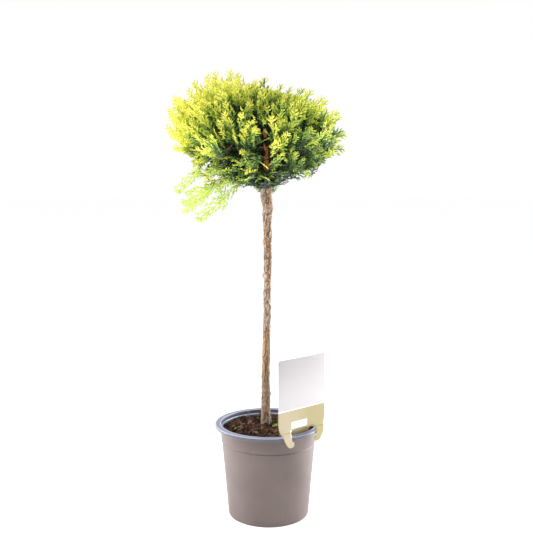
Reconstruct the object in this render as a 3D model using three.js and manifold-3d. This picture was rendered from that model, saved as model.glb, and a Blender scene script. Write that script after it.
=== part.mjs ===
import * as THREE from "three";
import { mergeVertices } from "three/addons/utils/BufferGeometryUtils.js";
import Module from "manifold-3d";

// A golden false cypress grown as a small standard: a round head of flat, feathery sprays on a bare
// stem, in a round nursery pot with a blank card hooked over the rim. Millimetres, +Z up. The
// origin is the middle of the pot's flat underside, and the front is -Y.

// Driving dimensions of the pot. Radii are of the outer wall.
const POT_HEIGHT = 130;
const RIM_RADIUS = 75;
const RIM_SKIRT = 4;
const RIM_THICKNESS = 1.2;
const COLLAR_TOP_RADIUS = 67.2;
const COLLAR_FOOT_RADIUS = 66.1;
const COLLAR_FOOT_HEIGHT = 106;
const COLLAR_STEP = 1;
const FOOT_RADIUS = 56;
const FOOT_BEVEL = 1.6;
const WALL = 1.2;
const FLOOR = 2;
const ROUND_SEGMENTS = 48;
const DRAIN_COUNT = 8;
const DRAIN_RADIUS = 4.5;
const DRAIN_SIDES = 12;
const DRAIN_CIRCLE = 42;

// Driving dimensions of the potting mix, a low mound that is level where the stem stands.
const MIX_EDGE_HEIGHT = 116;
const MIX_TOP_HEIGHT = 123;
const MIX_LEVEL_RADIUS = 24;
const MIX_BULGE = 0.6;

// The gap left between pieces that touch.
const GAP = 0.3;

// The stem and the leader that carries on up through the head: height, sideways place, place
// from front to back, and radius.
const STEM_STATIONS = [
  [MIX_TOP_HEIGHT + GAP, -3.2, 12, 8.2],
  [136, -3.6, 12, 6.7],
  [185, -4.1, 12, 6.1],
  [240, -3.0, 12, 5.6],
  [300, -2.0, 12, 5.2],
  [350, -1.2, 11.5, 5.3],
  [405, -1.4, 11, 5.6],
  [438, -2.0, 10.5, 6.3],
  [454, -2.6, 10, 7.0],
  [468, -2.8, 9.5, 5.0],
  [490, -3.0, 9, 3.4],
  [520, -4.2, 8, 2.7],
  [545, -5.6, 7, 2.2],
];
const STEM_SIDES = 12;
const STEM_RINGS = 24;

// The head is a flattened dome, wider to the left, with one low branch that droops out of it.
const HEAD_CENTRE = new THREE.Vector3(-17, 6, 526);
const HEAD_REACH = new THREE.Vector3(118, 113, 83);
const HEAD_LEAN = -0.15;
const DROOP_CENTRE = new THREE.Vector3(-78, -10, 455);
const DROOP_REACH = new THREE.Vector3(42, 36, 38);

// Tiers of masses round the head's middle. Each mass keeps to the space nearest its own heart.
// Angles are in degrees from +X towards the back, and foot is where its limb leaves the stem.
const TIERS = [
  {
    name: "lower", count: 7, turn: 200, radius: 74, height: 514, foot: 456, rise: 9, bough: 2.6,
    arch: 6,
  },
  {
    name: "upper", count: 5, turn: 232, radius: 56, height: 560, foot: 496, rise: 11, bough: 1.9,
    arch: 4,
  },
  { name: "top", count: 1, turn: 180, radius: 2, height: 576, foot: 545, rise: 0 },
  {
    name: "drooping", count: 1, turn: 188, radius: 62, height: 456, foot: 450, rise: 0,
    bough: 2.2, arch: 18,
  },
];
const BOUGH_CROOK_OUT = 0.26;
const BOUGH_CROOK_UP = 0.5;
const BOUGH_TAPER = 0.62;
const BOUGH_TIP_SHARE = 0.7;
const BOUGH_TIP_LIMIT = 0.9;
const BOUGH_TIP_DEPTH = 5;
const BOUGH_SIDES = 7;
const BOUGH_RINGS = 5;
const MASS_STEM_SIDES = 4;
const MASS_STEM_RINGS = 3;
const MASS_STEM_RADIUS = 1.9;
const MASS_STEM_TAPER = 0.6;
const MASS_STEM_PAST_HEART = 1.35;
const MASS_STEM_STRAIGHT = 0.4;

// Sprays: flat toothed blades on twigs. Their tips are dealt evenly over the head's surface.
const HEAD_SPRAYS = 175;
const DROOP_SPRAYS = 30;
const BARE_UNDERSIDE = -0.76;
const THIN_UNDERSIDE = -0.42;
const SPRAY_LENGTH = 46;
const SPRAY_LENGTH_SPREAD = 12;
const SPRAY_SIZES = [1, 0.8, 0.62];
const SPRAY_LIFTS = [0.62, 0.35, 0.1];
const SPRAY_SWINGS = [1, -1, 0];
const SPRAY_SLENDERNESS = 0.29;
const SPRAY_THICKNESS = 1;
const SPRAY_TEETH = 3;
const TOOTH_STARTS = [0.14, 0.42];
const TOOTH_LENGTH = 0.8;
const TOOTH_TIP_ROOM = 0.6;
const TOOTH_NOTCH = 0.2;
const SPRAY_RIB = 1.3;
const SPRAY_SPACING = 6.5;
const SHORTEST_TWIG = 6;
const LONGEST_TWIG = 48;
const TWIG_SET_BACK = 0.2;
const SHARPEST_FOLD = 0.05;
const FLATTEST_FOLD = 0.995;
const SPACE_MARGIN = 1;
const GOLDEN_TURN = Math.PI * (3 - Math.sqrt(5));

// The card: its face looks out to the right of the front. U runs along it and V is the height.
const CARD_TURN = -49;
const CARD_HALF_WIDTH = 42.5;
const CARD_TOP = 235;
const CARD_THICKNESS = 0.6;
const CARD_PLANE = 68;
const TONGUE_HALF_WIDTH = 15.5;
const TONGUE_FOOT = 125.5;
const TONGUE_DIP = 4.9;
const TONGUE_SLOPE = 0.18;
const HOOK_START = 22.5;
const HOOK_FOOT = 116.5;
const HOOK_RISE = 4.8;
const BARB_TOP = 124;
const SLOT_TOP = 136;
const BEND_START = 141;

const wasm = await Module();
wasm.setup();

// A repeatable run of numbers from 0 to 1, by the mulberry32 rule.
function seeded(seed) {
  let state = seed >>> 0;
  return () => {
    state = (state + 0x6d2b79f5) >>> 0;
    let mixed = Math.imul(state ^ (state >>> 15), state | 1);
    mixed ^= mixed + Math.imul(mixed ^ (mixed >>> 7), mixed | 61);
    return ((mixed ^ (mixed >>> 14)) >>> 0) / 4294967296;
  };
}

// A closed geometry as a solid that can be joined and cut.
function solidOf(geometry) {
  const loose = geometry.index ? geometry.toNonIndexed() : geometry;
  const bare = new THREE.BufferGeometry().setAttribute("position", loose.getAttribute("position"));
  const merged = mergeVertices(bare, 1e-4);
  const corners = merged.index.array;
  const kept = [];
  for (let i = 0; i < corners.length; i += 3) {
    const [a, b, c] = corners.slice(i, i + 3);
    if (a !== b && b !== c && c !== a) kept.push(a, b, c);
  }
  return new wasm.Manifold(
    new wasm.Mesh({
      numProp: 3,
      vertProperties: merged.attributes.position.array,
      triVerts: new Uint32Array(kept),
    }),
  );
}

function geometryOf(solid) {
  const mesh = solid.getMesh();
  const geometry = new THREE.BufferGeometry();
  geometry.setAttribute("position", new THREE.BufferAttribute(mesh.vertProperties, 3));
  geometry.setIndex(new THREE.BufferAttribute(mesh.triVerts, 1));
  geometry.computeVertexNormals();
  return geometry;
}

const fused = (solids) => solids.reduce((whole, next) => whole.add(next));

// The largest body of a solid, so that no loose scrap is kept.
const largest = (solid) => solid.decompose().reduce((a, b) => (a.volume() > b.volume() ? a : b));

// A profile of radius and height pairs turned about +Z.
function turned(profile) {
  const points = profile.map(([radius, height]) => new THREE.Vector2(radius, height));
  return new THREE.LatheGeometry(points, ROUND_SEGMENTS).rotateX(Math.PI / 2);
}

// A round limb along a curve: a cylinder whose rings are moved onto the curve and scaled.
function limb(curve, radiusAt, sides, rings) {
  const geometry = new THREE.CylinderGeometry(1, 1, 1, sides, rings);
  const frames = curve.computeFrenetFrames(rings, false);
  const position = geometry.attributes.position;
  for (let i = 0; i < position.count; i++) {
    const ring = Math.round((0.5 + position.getY(i)) * rings);
    const radius = radiusAt(ring / rings);
    const point = curve.getPointAt(ring / rings);
    point.addScaledVector(frames.normals[ring], radius * position.getX(i));
    point.addScaledVector(frames.binormals[ring], -radius * position.getZ(i));
    position.setXYZ(i, point.x, point.y, point.z);
  }
  return geometry;
}

const tapered = (start, end) => (share) => start + (end - start) * share;

// The pot

function potWallInnerProfile(inset) {
  const shift = WALL + inset;
  return [
    [COLLAR_FOOT_RADIUS - shift, COLLAR_FOOT_HEIGHT + COLLAR_STEP],
    [COLLAR_FOOT_RADIUS - COLLAR_STEP - shift, COLLAR_FOOT_HEIGHT - COLLAR_STEP],
    [FOOT_RADIUS - shift, FLOOR + inset],
  ];
}

function pot() {
  const flange = POT_HEIGHT - RIM_THICKNESS;
  const profile = [
    [0, 0],
    [FOOT_RADIUS - FOOT_BEVEL, 0],
    [FOOT_RADIUS, FOOT_BEVEL],
    [COLLAR_FOOT_RADIUS - COLLAR_STEP, COLLAR_FOOT_HEIGHT - COLLAR_STEP],
    [COLLAR_FOOT_RADIUS, COLLAR_FOOT_HEIGHT],
    [COLLAR_TOP_RADIUS, flange],
    [RIM_RADIUS - RIM_THICKNESS, flange],
    [RIM_RADIUS - RIM_THICKNESS, POT_HEIGHT - RIM_SKIRT],
    [RIM_RADIUS, POT_HEIGHT - RIM_SKIRT],
    [RIM_RADIUS, POT_HEIGHT - RIM_THICKNESS / 2],
    [RIM_RADIUS - RIM_THICKNESS / 2, POT_HEIGHT],
    [COLLAR_TOP_RADIUS - WALL / 2, POT_HEIGHT],
    [COLLAR_TOP_RADIUS - WALL, POT_HEIGHT - WALL / 2],
    ...potWallInnerProfile(0),
    [0, FLOOR],
  ];
  let shell = solidOf(turned(profile));
  for (let i = 0; i < DRAIN_COUNT; i++) {
    const angle = (2 * Math.PI * (i + 0.5)) / DRAIN_COUNT;
    const drain = new THREE.CylinderGeometry(DRAIN_RADIUS, DRAIN_RADIUS, 4 * FLOOR, DRAIN_SIDES);
    drain.rotateX(Math.PI / 2);
    drain.translate(DRAIN_CIRCLE * Math.cos(angle), DRAIN_CIRCLE * Math.sin(angle), 0);
    shell = shell.subtract(solidOf(drain));
  }
  return geometryOf(shell);
}

function pottingMix() {
  const inner = potWallInnerProfile(GAP);
  const collarSlope = (COLLAR_TOP_RADIUS - COLLAR_FOOT_RADIUS) / (POT_HEIGHT - COLLAR_FOOT_HEIGHT);
  const edgeRadius = inner[0][0] + collarSlope * (MIX_EDGE_HEIGHT - inner[0][1]);
  const rise = MIX_TOP_HEIGHT - MIX_EDGE_HEIGHT;
  const profile = [
    [0, FLOOR + GAP],
    ...inner.reverse(),
    [edgeRadius, MIX_EDGE_HEIGHT],
    [(edgeRadius + MIX_LEVEL_RADIUS) / 2, MIX_EDGE_HEIGHT + MIX_BULGE * rise],
    [MIX_LEVEL_RADIUS, MIX_TOP_HEIGHT],
    [0, MIX_TOP_HEIGHT],
  ];
  return geometryOf(solidOf(turned(profile)));
}

// The stem

const stemCurve = new THREE.CatmullRomCurve3(
  STEM_STATIONS.map(([height, x, y]) => new THREE.Vector3(x, y, height)),
);

// The stem's radius at a height, from the stations on either side.
function stemRadiusAt(height) {
  const above = STEM_STATIONS.findIndex((station) => station[0] >= height);
  if (above < 0) return STEM_STATIONS.at(-1)[3];
  if (above === 0) return STEM_STATIONS[0][3];
  const [low, high] = [STEM_STATIONS[above - 1], STEM_STATIONS[above]];
  const share = (height - low[0]) / (high[0] - low[0]);
  return low[3] + (high[3] - low[3]) * share;
}

// The point on the stem's axis at a height, by halving.
function stemPointAt(height) {
  let [low, high] = [0, 1];
  while (high - low > 1e-5) {
    const middle = (low + high) / 2;
    if (stemCurve.getPointAt(middle).z < height) low = middle;
    else high = middle;
  }
  return stemCurve.getPointAt(low);
}

function stemGeometry(inflation) {
  const radiusAt = (share) => stemRadiusAt(stemCurve.getPointAt(share).z) + inflation;
  const geometry = limb(stemCurve, radiusAt, STEM_SIDES, STEM_RINGS);
  const position = geometry.attributes.position;
  const foot = STEM_STATIONS[0][0];
  for (let i = 0; i < position.count; i++) {
    if (position.getZ(i) < foot + 1.5) position.setZ(i, foot);
  }
  return geometry;
}

// The head: hearts of the masses, and the boughs that lead to them

function heartsOfMasses() {
  const hearts = [];
  for (const tier of TIERS) {
    for (let i = 0; i < tier.count; i++) {
      const angle = THREE.MathUtils.degToRad(tier.turn + (360 * i) / tier.count);
      const heart = new THREE.Vector3(
        HEAD_CENTRE.x + tier.radius * Math.cos(angle),
        HEAD_CENTRE.y + tier.radius * Math.sin(angle),
        tier.height + HEAD_LEAN * tier.radius * Math.cos(angle),
      );
      const foot = tier.foot + tier.rise * (i % 2) + (tier.rise / tier.count) * i;
      const suffix = tier.count > 1 ? `_${i + 1}` : "";
      hearts.push({ name: tier.name + suffix, tier, heart, foot, sprays: [] });
    }
  }
  return hearts;
}

// How far a point lies inside the space of one mass: the distance to the nearest halfway plane.
function depthInSpace(point, mass, masses) {
  let depth = Infinity;
  for (const other of masses) {
    if (other === mass) continue;
    const apart = other.heart.distanceTo(mass.heart);
    const nearer = point.distanceToSquared(other.heart) - point.distanceToSquared(mass.heart);
    depth = Math.min(depth, nearer / (2 * apart));
  }
  return depth;
}

// A bough rises beside the stem, then spreads towards the heart of its mass.
function boughCurve(mass) {
  const foot = stemPointAt(mass.foot);
  const outward = mass.heart.clone().sub(foot).setZ(0);
  const crook = foot.clone().addScaledVector(outward, BOUGH_CROOK_OUT);
  crook.z += BOUGH_CROOK_UP * (mass.heart.z - foot.z) + mass.tier.arch;
  return new THREE.QuadraticBezierCurve3(foot, crook, mass.heart.clone());
}

// The first part of a bough's curve, up to where it has entered the space of its mass.
function boughWithin(curve, mass, masses) {
  const shallow = (share) => depthInSpace(curve.getPointAt(share), mass, masses) < BOUGH_TIP_DEPTH;
  let share = BOUGH_TIP_SHARE;
  while (share < BOUGH_TIP_LIMIT && shallow(share)) share += 0.02;
  const points = [];
  for (let i = 0; i <= BOUGH_RINGS; i++) points.push(curve.getPointAt((share * i) / BOUGH_RINGS));
  return new THREE.CatmullRomCurve3(points);
}

// Every bough, and the stem of every mass, which starts a gap past the tip of its limb.
function addBoughsAndStems(masses) {
  for (const mass of masses) {
    let limbCurve = stemCurve;
    if (mass.tier.bough) {
      limbCurve = boughWithin(boughCurve(mass), mass, masses);
      mass.boughCurve = limbCurve;
    }
    const forward = limbCurve.getTangentAt(1);
    const start = limbCurve.getPointAt(1).addScaledVector(forward, GAP);
    const end = start.clone().lerp(mass.heart, MASS_STEM_PAST_HEART);
    const bend = start.clone().addScaledVector(forward, MASS_STEM_STRAIGHT * start.distanceTo(end));
    mass.stem = new THREE.QuadraticBezierCurve3(start, bend, end);
  }
}

function boughSolid(mass, inflation) {
  const { bough } = mass.tier;
  const radiusAt = tapered(bough + inflation, BOUGH_TAPER * bough + inflation);
  return solidOf(limb(mass.boughCurve, radiusAt, BOUGH_SIDES, BOUGH_RINGS));
}

// The space kept free round every limb: the stem and boughs with the gap added.
function spaceRoundLimbs(masses, clearOfStem) {
  const boughs = masses.filter((mass) => mass.boughCurve).map((mass) => boughSolid(mass, GAP));
  return fused([clearOfStem, ...boughs]);
}

// Sprays

// Half the width of a spray at a share of its length, as a share of the widest half width.
const sprayWidthAt = (share) => Math.sin(Math.PI * (0.14 + 0.86 * share) ** 0.8) ** 0.8;

// Directions spread evenly over a sphere by the golden turn.
function evenDirection(index, count) {
  const up = 1 - (2 * index + 1) / count;
  const flat = Math.sqrt(1 - up * up);
  const angle = index * GOLDEN_TURN;
  return new THREE.Vector3(flat * Math.cos(angle), flat * Math.sin(angle), up);
}

// A place on the head's surface where the tip of a spray belongs.
function sprayTarget(index, lobe) {
  const next = seeded(lobe.seed + index);
  const out = evenDirection(index, lobe.count);
  const tip = out.clone().multiply(lobe.reach).multiplyScalar(1 - 0.08 * next());
  tip.z += lobe.lean * tip.x;
  tip.add(lobe.centre);
  const normal = out.clone().divide(lobe.reach).normalize();
  const sideways = new THREE.Vector3(-normal.y, normal.x, 0).normalize();
  const length = SPRAY_LENGTH + SPRAY_LENGTH_SPREAD * next();
  return { out, tip, normal, sideways, length, swing: 0.35 + 0.5 * next() };
}

// The ways a spray may be set to reach its target, the liked ones first.
function waysToReach(target, lobe) {
  const ways = [];
  for (const size of SPRAY_SIZES) {
    for (const lift of SPRAY_LIFTS) {
      for (const swing of SPRAY_SWINGS) {
        const aim = target.normal.clone().multiplyScalar(1 - lift);
        aim.addScaledVector(lobe.pull, lift * (1 + Math.min(0, 1.6 * target.out.z)));
        aim.addScaledVector(target.sideways, swing * target.swing * (0.3 + 0.7 * lift));
        ways.push({ aim: aim.normalize(), length: size * target.length });
      }
    }
  }
  return ways;
}

// The point where a twig leaves a mass's stem, a little before the point nearest the spray's root.
function twigFoot(root, mass) {
  let nearest = 0;
  for (let share = 0.05; share <= 1; share += 0.05) {
    const nearer = mass.stem.getPoint(share).distanceTo(root);
    if (nearer < mass.stem.getPoint(nearest).distanceTo(root)) nearest = share;
  }
  return mass.stem.getPoint(Math.max(0.1, nearest - TWIG_SET_BACK));
}

// The frames of a spray: its straight twig, the fold at the blade's root, and the blade.
function sprayFrames(tip, way, mass) {
  const root = tip.clone().addScaledVector(way.aim, -way.length);
  const foot = twigFoot(root, mass);
  const twigAim = root.clone().sub(foot);
  const twigLength = twigAim.length();
  twigAim.normalize();
  const across = new THREE.Vector3().crossVectors(twigAim, way.aim).normalize();
  const twigFace = new THREE.Vector3().crossVectors(twigAim, across);
  const face = new THREE.Vector3().crossVectors(way.aim, across);
  const fold = twigFace.clone().add(face).normalize();
  fold.divideScalar(fold.dot(face));
  return { ...way, tip, root, foot, twigAim, twigLength, across, twigFace, face, fold };
}

// The outline of a spray lying flat: a narrow twig, then teeth that point forwards, set in turn
// on either side of the rib.
function sprayOutline({ twigLength, length }) {
  const halfWidth = SPRAY_SLENDERNESS * length;
  const edge = (side, offset) => {
    const points = [];
    for (let tooth = 0; tooth < SPRAY_TEETH; tooth++) {
      const notch = (tooth + offset) / (SPRAY_TEETH + TOOTH_TIP_ROOM);
      const point = (tooth + offset + TOOTH_LENGTH) / (SPRAY_TEETH + TOOTH_TIP_ROOM);
      const notchWidth = SPRAY_RIB + TOOTH_NOTCH * halfWidth * sprayWidthAt(notch);
      points.push([twigLength + notch * length, side * notchWidth]);
      points.push([twigLength + point * length, side * halfWidth * sprayWidthAt(point)]);
    }
    return points;
  };
  const right = [[0, -SPRAY_RIB], [twigLength, -SPRAY_RIB], ...edge(-1, TOOTH_STARTS[0])];
  const left = [[0, SPRAY_RIB], [twigLength, SPRAY_RIB], ...edge(1, TOOTH_STARTS[1])].reverse();
  return [...right, [twigLength + length, 0], ...left].map(([x, y]) => new THREE.Vector2(x, y));
}

// The place of a point of the flat outline once the spray is folded and set on its mass.
function foldedPoint(spray, x, y, z) {
  const past = x - spray.twigLength;
  if (Math.abs(past) < 1e-4) {
    return spray.root.clone().addScaledVector(spray.across, y).addScaledVector(spray.fold, z);
  }
  const [origin, along, face, distance] =
    past > 0
      ? [spray.root, spray.aim, spray.face, past]
      : [spray.foot, spray.twigAim, spray.twigFace, x];
  const point = origin.clone().addScaledVector(along, distance);
  return point.addScaledVector(spray.across, y).addScaledVector(face, z);
}

function spraySolid(spray) {
  const blade = new THREE.ExtrudeGeometry(new THREE.Shape(sprayOutline(spray)), {
    depth: SPRAY_THICKNESS,
    bevelEnabled: false,
  });
  const position = blade.attributes.position;
  for (let i = 0; i < position.count; i++) {
    const height = position.getZ(i) - SPRAY_THICKNESS / 2;
    const point = foldedPoint(spray, position.getX(i), position.getY(i), height);
    position.setXYZ(i, point.x, point.y, point.z);
  }
  return solidOf(blade);
}

// Points spread over a blade, for keeping the blades of a mass apart.
function bladeSamples(spray) {
  const points = [];
  for (const share of [0.15, 0.32, 0.5, 0.68, 0.84, 1]) {
    const half = 0.75 * SPRAY_SLENDERNESS * spray.length * sprayWidthAt(Math.min(share, 0.94));
    for (const side of [-1, 0, 1]) {
      points.push(foldedPoint(spray, spray.twigLength + share * spray.length, side * half, 0));
    }
  }
  return points;
}

// Whether a spray keeps to its mass's space, stands apart from the sprays already there and is
// clear of every limb.
function sprayFits(spray, mass, masses, limbSpace) {
  const straightness = spray.twigAim.dot(spray.aim);
  if (spray.twigLength < SHORTEST_TWIG || spray.twigLength > LONGEST_TWIG) return false;
  if (straightness < SHARPEST_FOLD || straightness > FLATTEST_FOLD) return false;
  const inside = sprayOutline(spray).every(
    ({ x, y }) => depthInSpace(foldedPoint(spray, x, y, 0), mass, masses) > SPACE_MARGIN,
  );
  if (!inside) return false;
  spray.samples = bladeSamples(spray);
  const apart = mass.sprays.every((other) =>
    other.samples.every((a) => spray.samples.every((b) => a.distanceTo(b) > SPRAY_SPACING)),
  );
  return apart && spraySolid(spray).intersect(limbSpace).isEmpty();
}

// Deals every spray that fits to the mass in whose space its tip lies.
function dealSprays(masses, limbSpace) {
  const lobes = [
    {
      count: HEAD_SPRAYS, centre: HEAD_CENTRE, reach: HEAD_REACH, lean: HEAD_LEAN, seed: 7919,
      pull: new THREE.Vector3(0, 0, 1.3), thinned: true,
    },
    {
      count: DROOP_SPRAYS, centre: DROOP_CENTRE, reach: DROOP_REACH, lean: 0, seed: 15838,
      pull: new THREE.Vector3(-0.8, -0.1, -0.9), thinned: false,
    },
  ];
  for (const lobe of lobes) {
    for (let index = 0; index < lobe.count; index++) {
      const target = sprayTarget(index, lobe);
      const { z } = target.out;
      if (lobe.thinned && (z < BARE_UNDERSIDE || (z < THIN_UNDERSIDE && index % 2))) continue;
      const owner = masses.reduce((a, b) =>
        target.tip.distanceTo(a.heart) < target.tip.distanceTo(b.heart) ? a : b,
      );
      const fit = waysToReach(target, lobe)
        .map((way) => sprayFrames(target.tip, way, owner))
        .find((spray) => sprayFits(spray, owner, masses, limbSpace));
      if (fit) owner.sprays.push(fit);
    }
  }
}

// One mass: its stem and sprays fused, and cut clear of the limbs.
function massGeometry(mass, limbSpace) {
  const radiusAt = tapered(MASS_STEM_RADIUS, MASS_STEM_TAPER * MASS_STEM_RADIUS);
  const stem = solidOf(limb(mass.stem, radiusAt, MASS_STEM_SIDES, MASS_STEM_RINGS));
  return geometryOf(largest(fused([stem, ...mass.sprays.map(spraySolid)]).subtract(limbSpace)));
}

// The card

// How far the card stands from the pot's axis: flat above, then a tongue that dips inside the
// rim and hooks that pass outside it.
function cardPlaneAt(u, v) {
  const bend = THREE.MathUtils.smoothstep(BEND_START - v, 0, BEND_START - POT_HEIGHT);
  const below = Math.max(0, POT_HEIGHT - v);
  const tongue = -TONGUE_DIP * bend - TONGUE_SLOPE * below;
  const hook = HOOK_RISE * bend;
  const besideTongue = THREE.MathUtils.smoothstep(Math.abs(u), TONGUE_HALF_WIDTH, HOOK_START);
  const outer = v > BARB_TOP ? besideTongue : 1;
  return CARD_PLANE + tongue + (hook - tongue) * outer;
}

// A thin sheet over a grid of places on the card, as a box whose two faces follow the bend.
function cardSheet() {
  const half = [TONGUE_HALF_WIDTH, 19, HOOK_START, CARD_HALF_WIDTH + 2];
  const columns = [...half.map((u) => -u).reverse(), ...half];
  const rows = [HOOK_FOOT - 2, BARB_TOP, TONGUE_FOOT, 127.5, 130, 133, 136, 138.5, BEND_START];
  rows.push(CARD_TOP + 2);
  const sheet = new THREE.BoxGeometry(1, 1, 1, columns.length - 1, rows.length - 1, 1);
  const position = sheet.attributes.position;
  for (let i = 0; i < position.count; i++) {
    const u = columns[Math.round((position.getX(i) + 0.5) * (columns.length - 1))];
    const v = rows[Math.round((position.getY(i) + 0.5) * (rows.length - 1))];
    position.setXYZ(i, u, v, cardPlaneAt(u, v) + CARD_THICKNESS * position.getZ(i));
  }
  return sheet;
}

// The card's outline: square above, with a tongue, two slots and two inward hooks below.
function cardOutline() {
  const half = [
    [TONGUE_HALF_WIDTH, TONGUE_FOOT],
    [TONGUE_HALF_WIDTH, SLOT_TOP],
    [HOOK_START, SLOT_TOP],
    [HOOK_START, BARB_TOP],
    [18.5, BARB_TOP - 0.5],
    [18.5, 119],
    [21.5, HOOK_FOOT],
    [28, HOOK_FOOT + 0.5],
    [34, 123],
    [39, 136],
    [CARD_HALF_WIDTH, 150],
    [CARD_HALF_WIDTH, CARD_TOP - 3],
    [CARD_HALF_WIDTH - 3, CARD_TOP],
  ];
  const mirrored = half.map(([u, v]) => [-u, v]).reverse();
  return new THREE.Shape([...half, ...mirrored].map(([u, v]) => new THREE.Vector2(u, v)));
}

function card() {
  const depth = 6 * (TONGUE_DIP + HOOK_RISE);
  const cutter = new THREE.ExtrudeGeometry(cardOutline(), { depth, bevelEnabled: false });
  cutter.translate(0, 0, CARD_PLANE - depth / 2);
  const flat = solidOf(cardSheet()).intersect(solidOf(cutter));
  const angle = THREE.MathUtils.degToRad(CARD_TURN);
  const outward = new THREE.Vector3(Math.cos(angle), Math.sin(angle), 0);
  const along = new THREE.Vector3(-Math.sin(angle), Math.cos(angle), 0);
  const placed = new THREE.Matrix4().makeBasis(along, new THREE.Vector3(0, 0, 1), outward);
  return geometryOf(flat).applyMatrix4(placed);
}

// Assembly

const plastic = new THREE.MeshStandardMaterial({ color: 0xa3958c, roughness: 0.45 });
const mix = new THREE.MeshStandardMaterial({ color: 0x3a2a22, roughness: 1 });
const bark = new THREE.MeshStandardMaterial({ color: 0x8d7a66, roughness: 0.9 });
const youngBark = new THREE.MeshStandardMaterial({ color: 0x9a5a34, roughness: 0.7 });
const foliage = new THREE.MeshStandardMaterial({ color: 0xc9d234, roughness: 0.6 });
const printedCard = new THREE.MeshStandardMaterial({ color: 0xd9d4d2, roughness: 0.4 });

const plant = new THREE.Group();

function addPart(name, geometry, material) {
  const mesh = new THREE.Mesh(geometry, material);
  mesh.name = name;
  plant.add(mesh);
}

const masses = heartsOfMasses();
addBoughsAndStems(masses);
const clearOfStem = solidOf(stemGeometry(GAP));
const limbSpace = spaceRoundLimbs(masses, clearOfStem);
dealSprays(masses, limbSpace);

addPart("pot", pot(), plastic);
addPart("potting_mix", pottingMix(), mix);
addPart("card", card(), printedCard);
addPart("stem", geometryOf(solidOf(stemGeometry(0))), bark);
for (const mass of masses) {
  if (mass.boughCurve) {
    const bough = largest(boughSolid(mass, 0).subtract(clearOfStem));
    addPart(`bough_${mass.name}`, geometryOf(bough), youngBark);
  }
  addPart(`foliage_${mass.name}`, massGeometry(mass, limbSpace), foliage);
}

export default plant;
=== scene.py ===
"""Visual model of a golden conifer grown as a small standard, in its nursery pot.

Sizes are in millimetres, +Z up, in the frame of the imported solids, until a mesh is made in metres.
"""

import itertools
import logging
import math
from collections.abc import Iterator
from dataclasses import dataclass, field
from enum import Enum

import bpy
import numpy as np
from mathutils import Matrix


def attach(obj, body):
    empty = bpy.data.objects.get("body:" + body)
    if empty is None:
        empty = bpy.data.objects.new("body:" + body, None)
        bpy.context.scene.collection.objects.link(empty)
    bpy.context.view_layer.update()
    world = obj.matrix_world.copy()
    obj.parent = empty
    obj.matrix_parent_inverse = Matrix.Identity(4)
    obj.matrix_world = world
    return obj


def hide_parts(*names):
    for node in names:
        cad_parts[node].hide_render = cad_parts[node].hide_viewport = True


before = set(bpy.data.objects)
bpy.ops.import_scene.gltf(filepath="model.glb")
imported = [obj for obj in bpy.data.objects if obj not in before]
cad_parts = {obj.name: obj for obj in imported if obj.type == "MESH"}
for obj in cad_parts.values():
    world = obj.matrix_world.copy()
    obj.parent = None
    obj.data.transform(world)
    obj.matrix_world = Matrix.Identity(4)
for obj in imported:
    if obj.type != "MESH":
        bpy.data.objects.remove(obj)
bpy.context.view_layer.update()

Array = np.ndarray
Arrays = tuple[Array, ...]
Dice = np.random.Generator
Row = tuple[float, ...]
Pair = tuple[float, float]
Triple = tuple[float, float, float]
Four = tuple[float, float, float, float]
Material = bpy.types.Material
NodeTree = bpy.types.NodeTree
Piece = bpy.types.Object
Socket = bpy.types.NodeSocket

LOG = logging.getLogger("potted_conifer")
MM = 0.001
TINY = 1e-9
UP = np.array([0.0, 0.0, 1.0])
GOLDEN_TURN = math.pi * (3 - math.sqrt(5))
# A sliver's corners are its base, its tip, and the left, upper, right and lower one of its waist.
SLIVER_FACES = ((0, 2, 3), (0, 3, 4), (0, 4, 5), (0, 5, 2), (1, 3, 2), (1, 4, 3), (1, 5, 4), (1, 2, 5))
CHIP_FACES = ((0, 2, 3, 1), (4, 5, 7, 6), (0, 1, 5, 4), (2, 6, 7, 3), (0, 4, 6, 2), (1, 3, 7, 5))


# Numbers and vectors


class SeededRun:
    """A repeatable run of numbers from 0 to 1, by the mulberry32 rule."""

    word = 0xFFFFFFFF
    stride = 0x6D2B79F5

    def __init__(self, seed: int) -> None:
        """Start the run at a whole number."""
        self.state = seed & self.word

    def next(self) -> float:
        """The next number of the run."""
        self.state = (self.state + self.stride) & self.word
        mixed = ((self.state ^ (self.state >> 15)) * (self.state | 1)) & self.word
        mixed ^= (mixed + (((mixed ^ (mixed >> 7)) * (mixed | 61)) & self.word)) & self.word
        return ((mixed ^ (mixed >> 14)) & self.word) / (self.word + 1)


def unit(vectors: Array) -> Array:
    """Vectors scaled to length 1 along their last axis."""
    return vectors / np.maximum(np.linalg.norm(vectors, axis=-1, keepdims=True), TINY)


def level_way(angle: float) -> Array:
    """The level unit direction at an angle from +X, in radians."""
    return np.array([math.cos(angle), math.sin(angle), 0])


def spiral_way(up: float, turn: float) -> Array:
    """The unit direction at a height from -1 to 1, at an angle from +X."""
    flat = math.sqrt(1 - up * up)
    return np.array([flat * math.cos(turn), flat * math.sin(turn), up])


def nearest(points: Array, place: Array) -> Array:
    """The one of many points that lies nearest to a place."""
    return points[np.argmin(np.linalg.norm(points - place, axis=1))]


def ring_angles(count: int) -> Array:
    """Angles of a ring of evenly spaced points."""
    return np.arange(count) * 2 * math.pi / count


def smoothstep(low: float, high: float, x: Array) -> Array:
    """A smooth step from 0 below low to 1 above high."""
    t = np.clip((x - low) / (high - low), 0, 1)
    return t * t * (3 - 2 * t)


def bezier(start: Array, bend: Array, end: Array, t: Array) -> Array:
    """Points at shares t of a quadratic curve from start to end, whose end tangents meet at bend."""
    t = np.asarray(t, float)[..., None]
    return (1 - t) ** 2 * start + 2 * t * (1 - t) * bend + t * t * end


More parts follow.
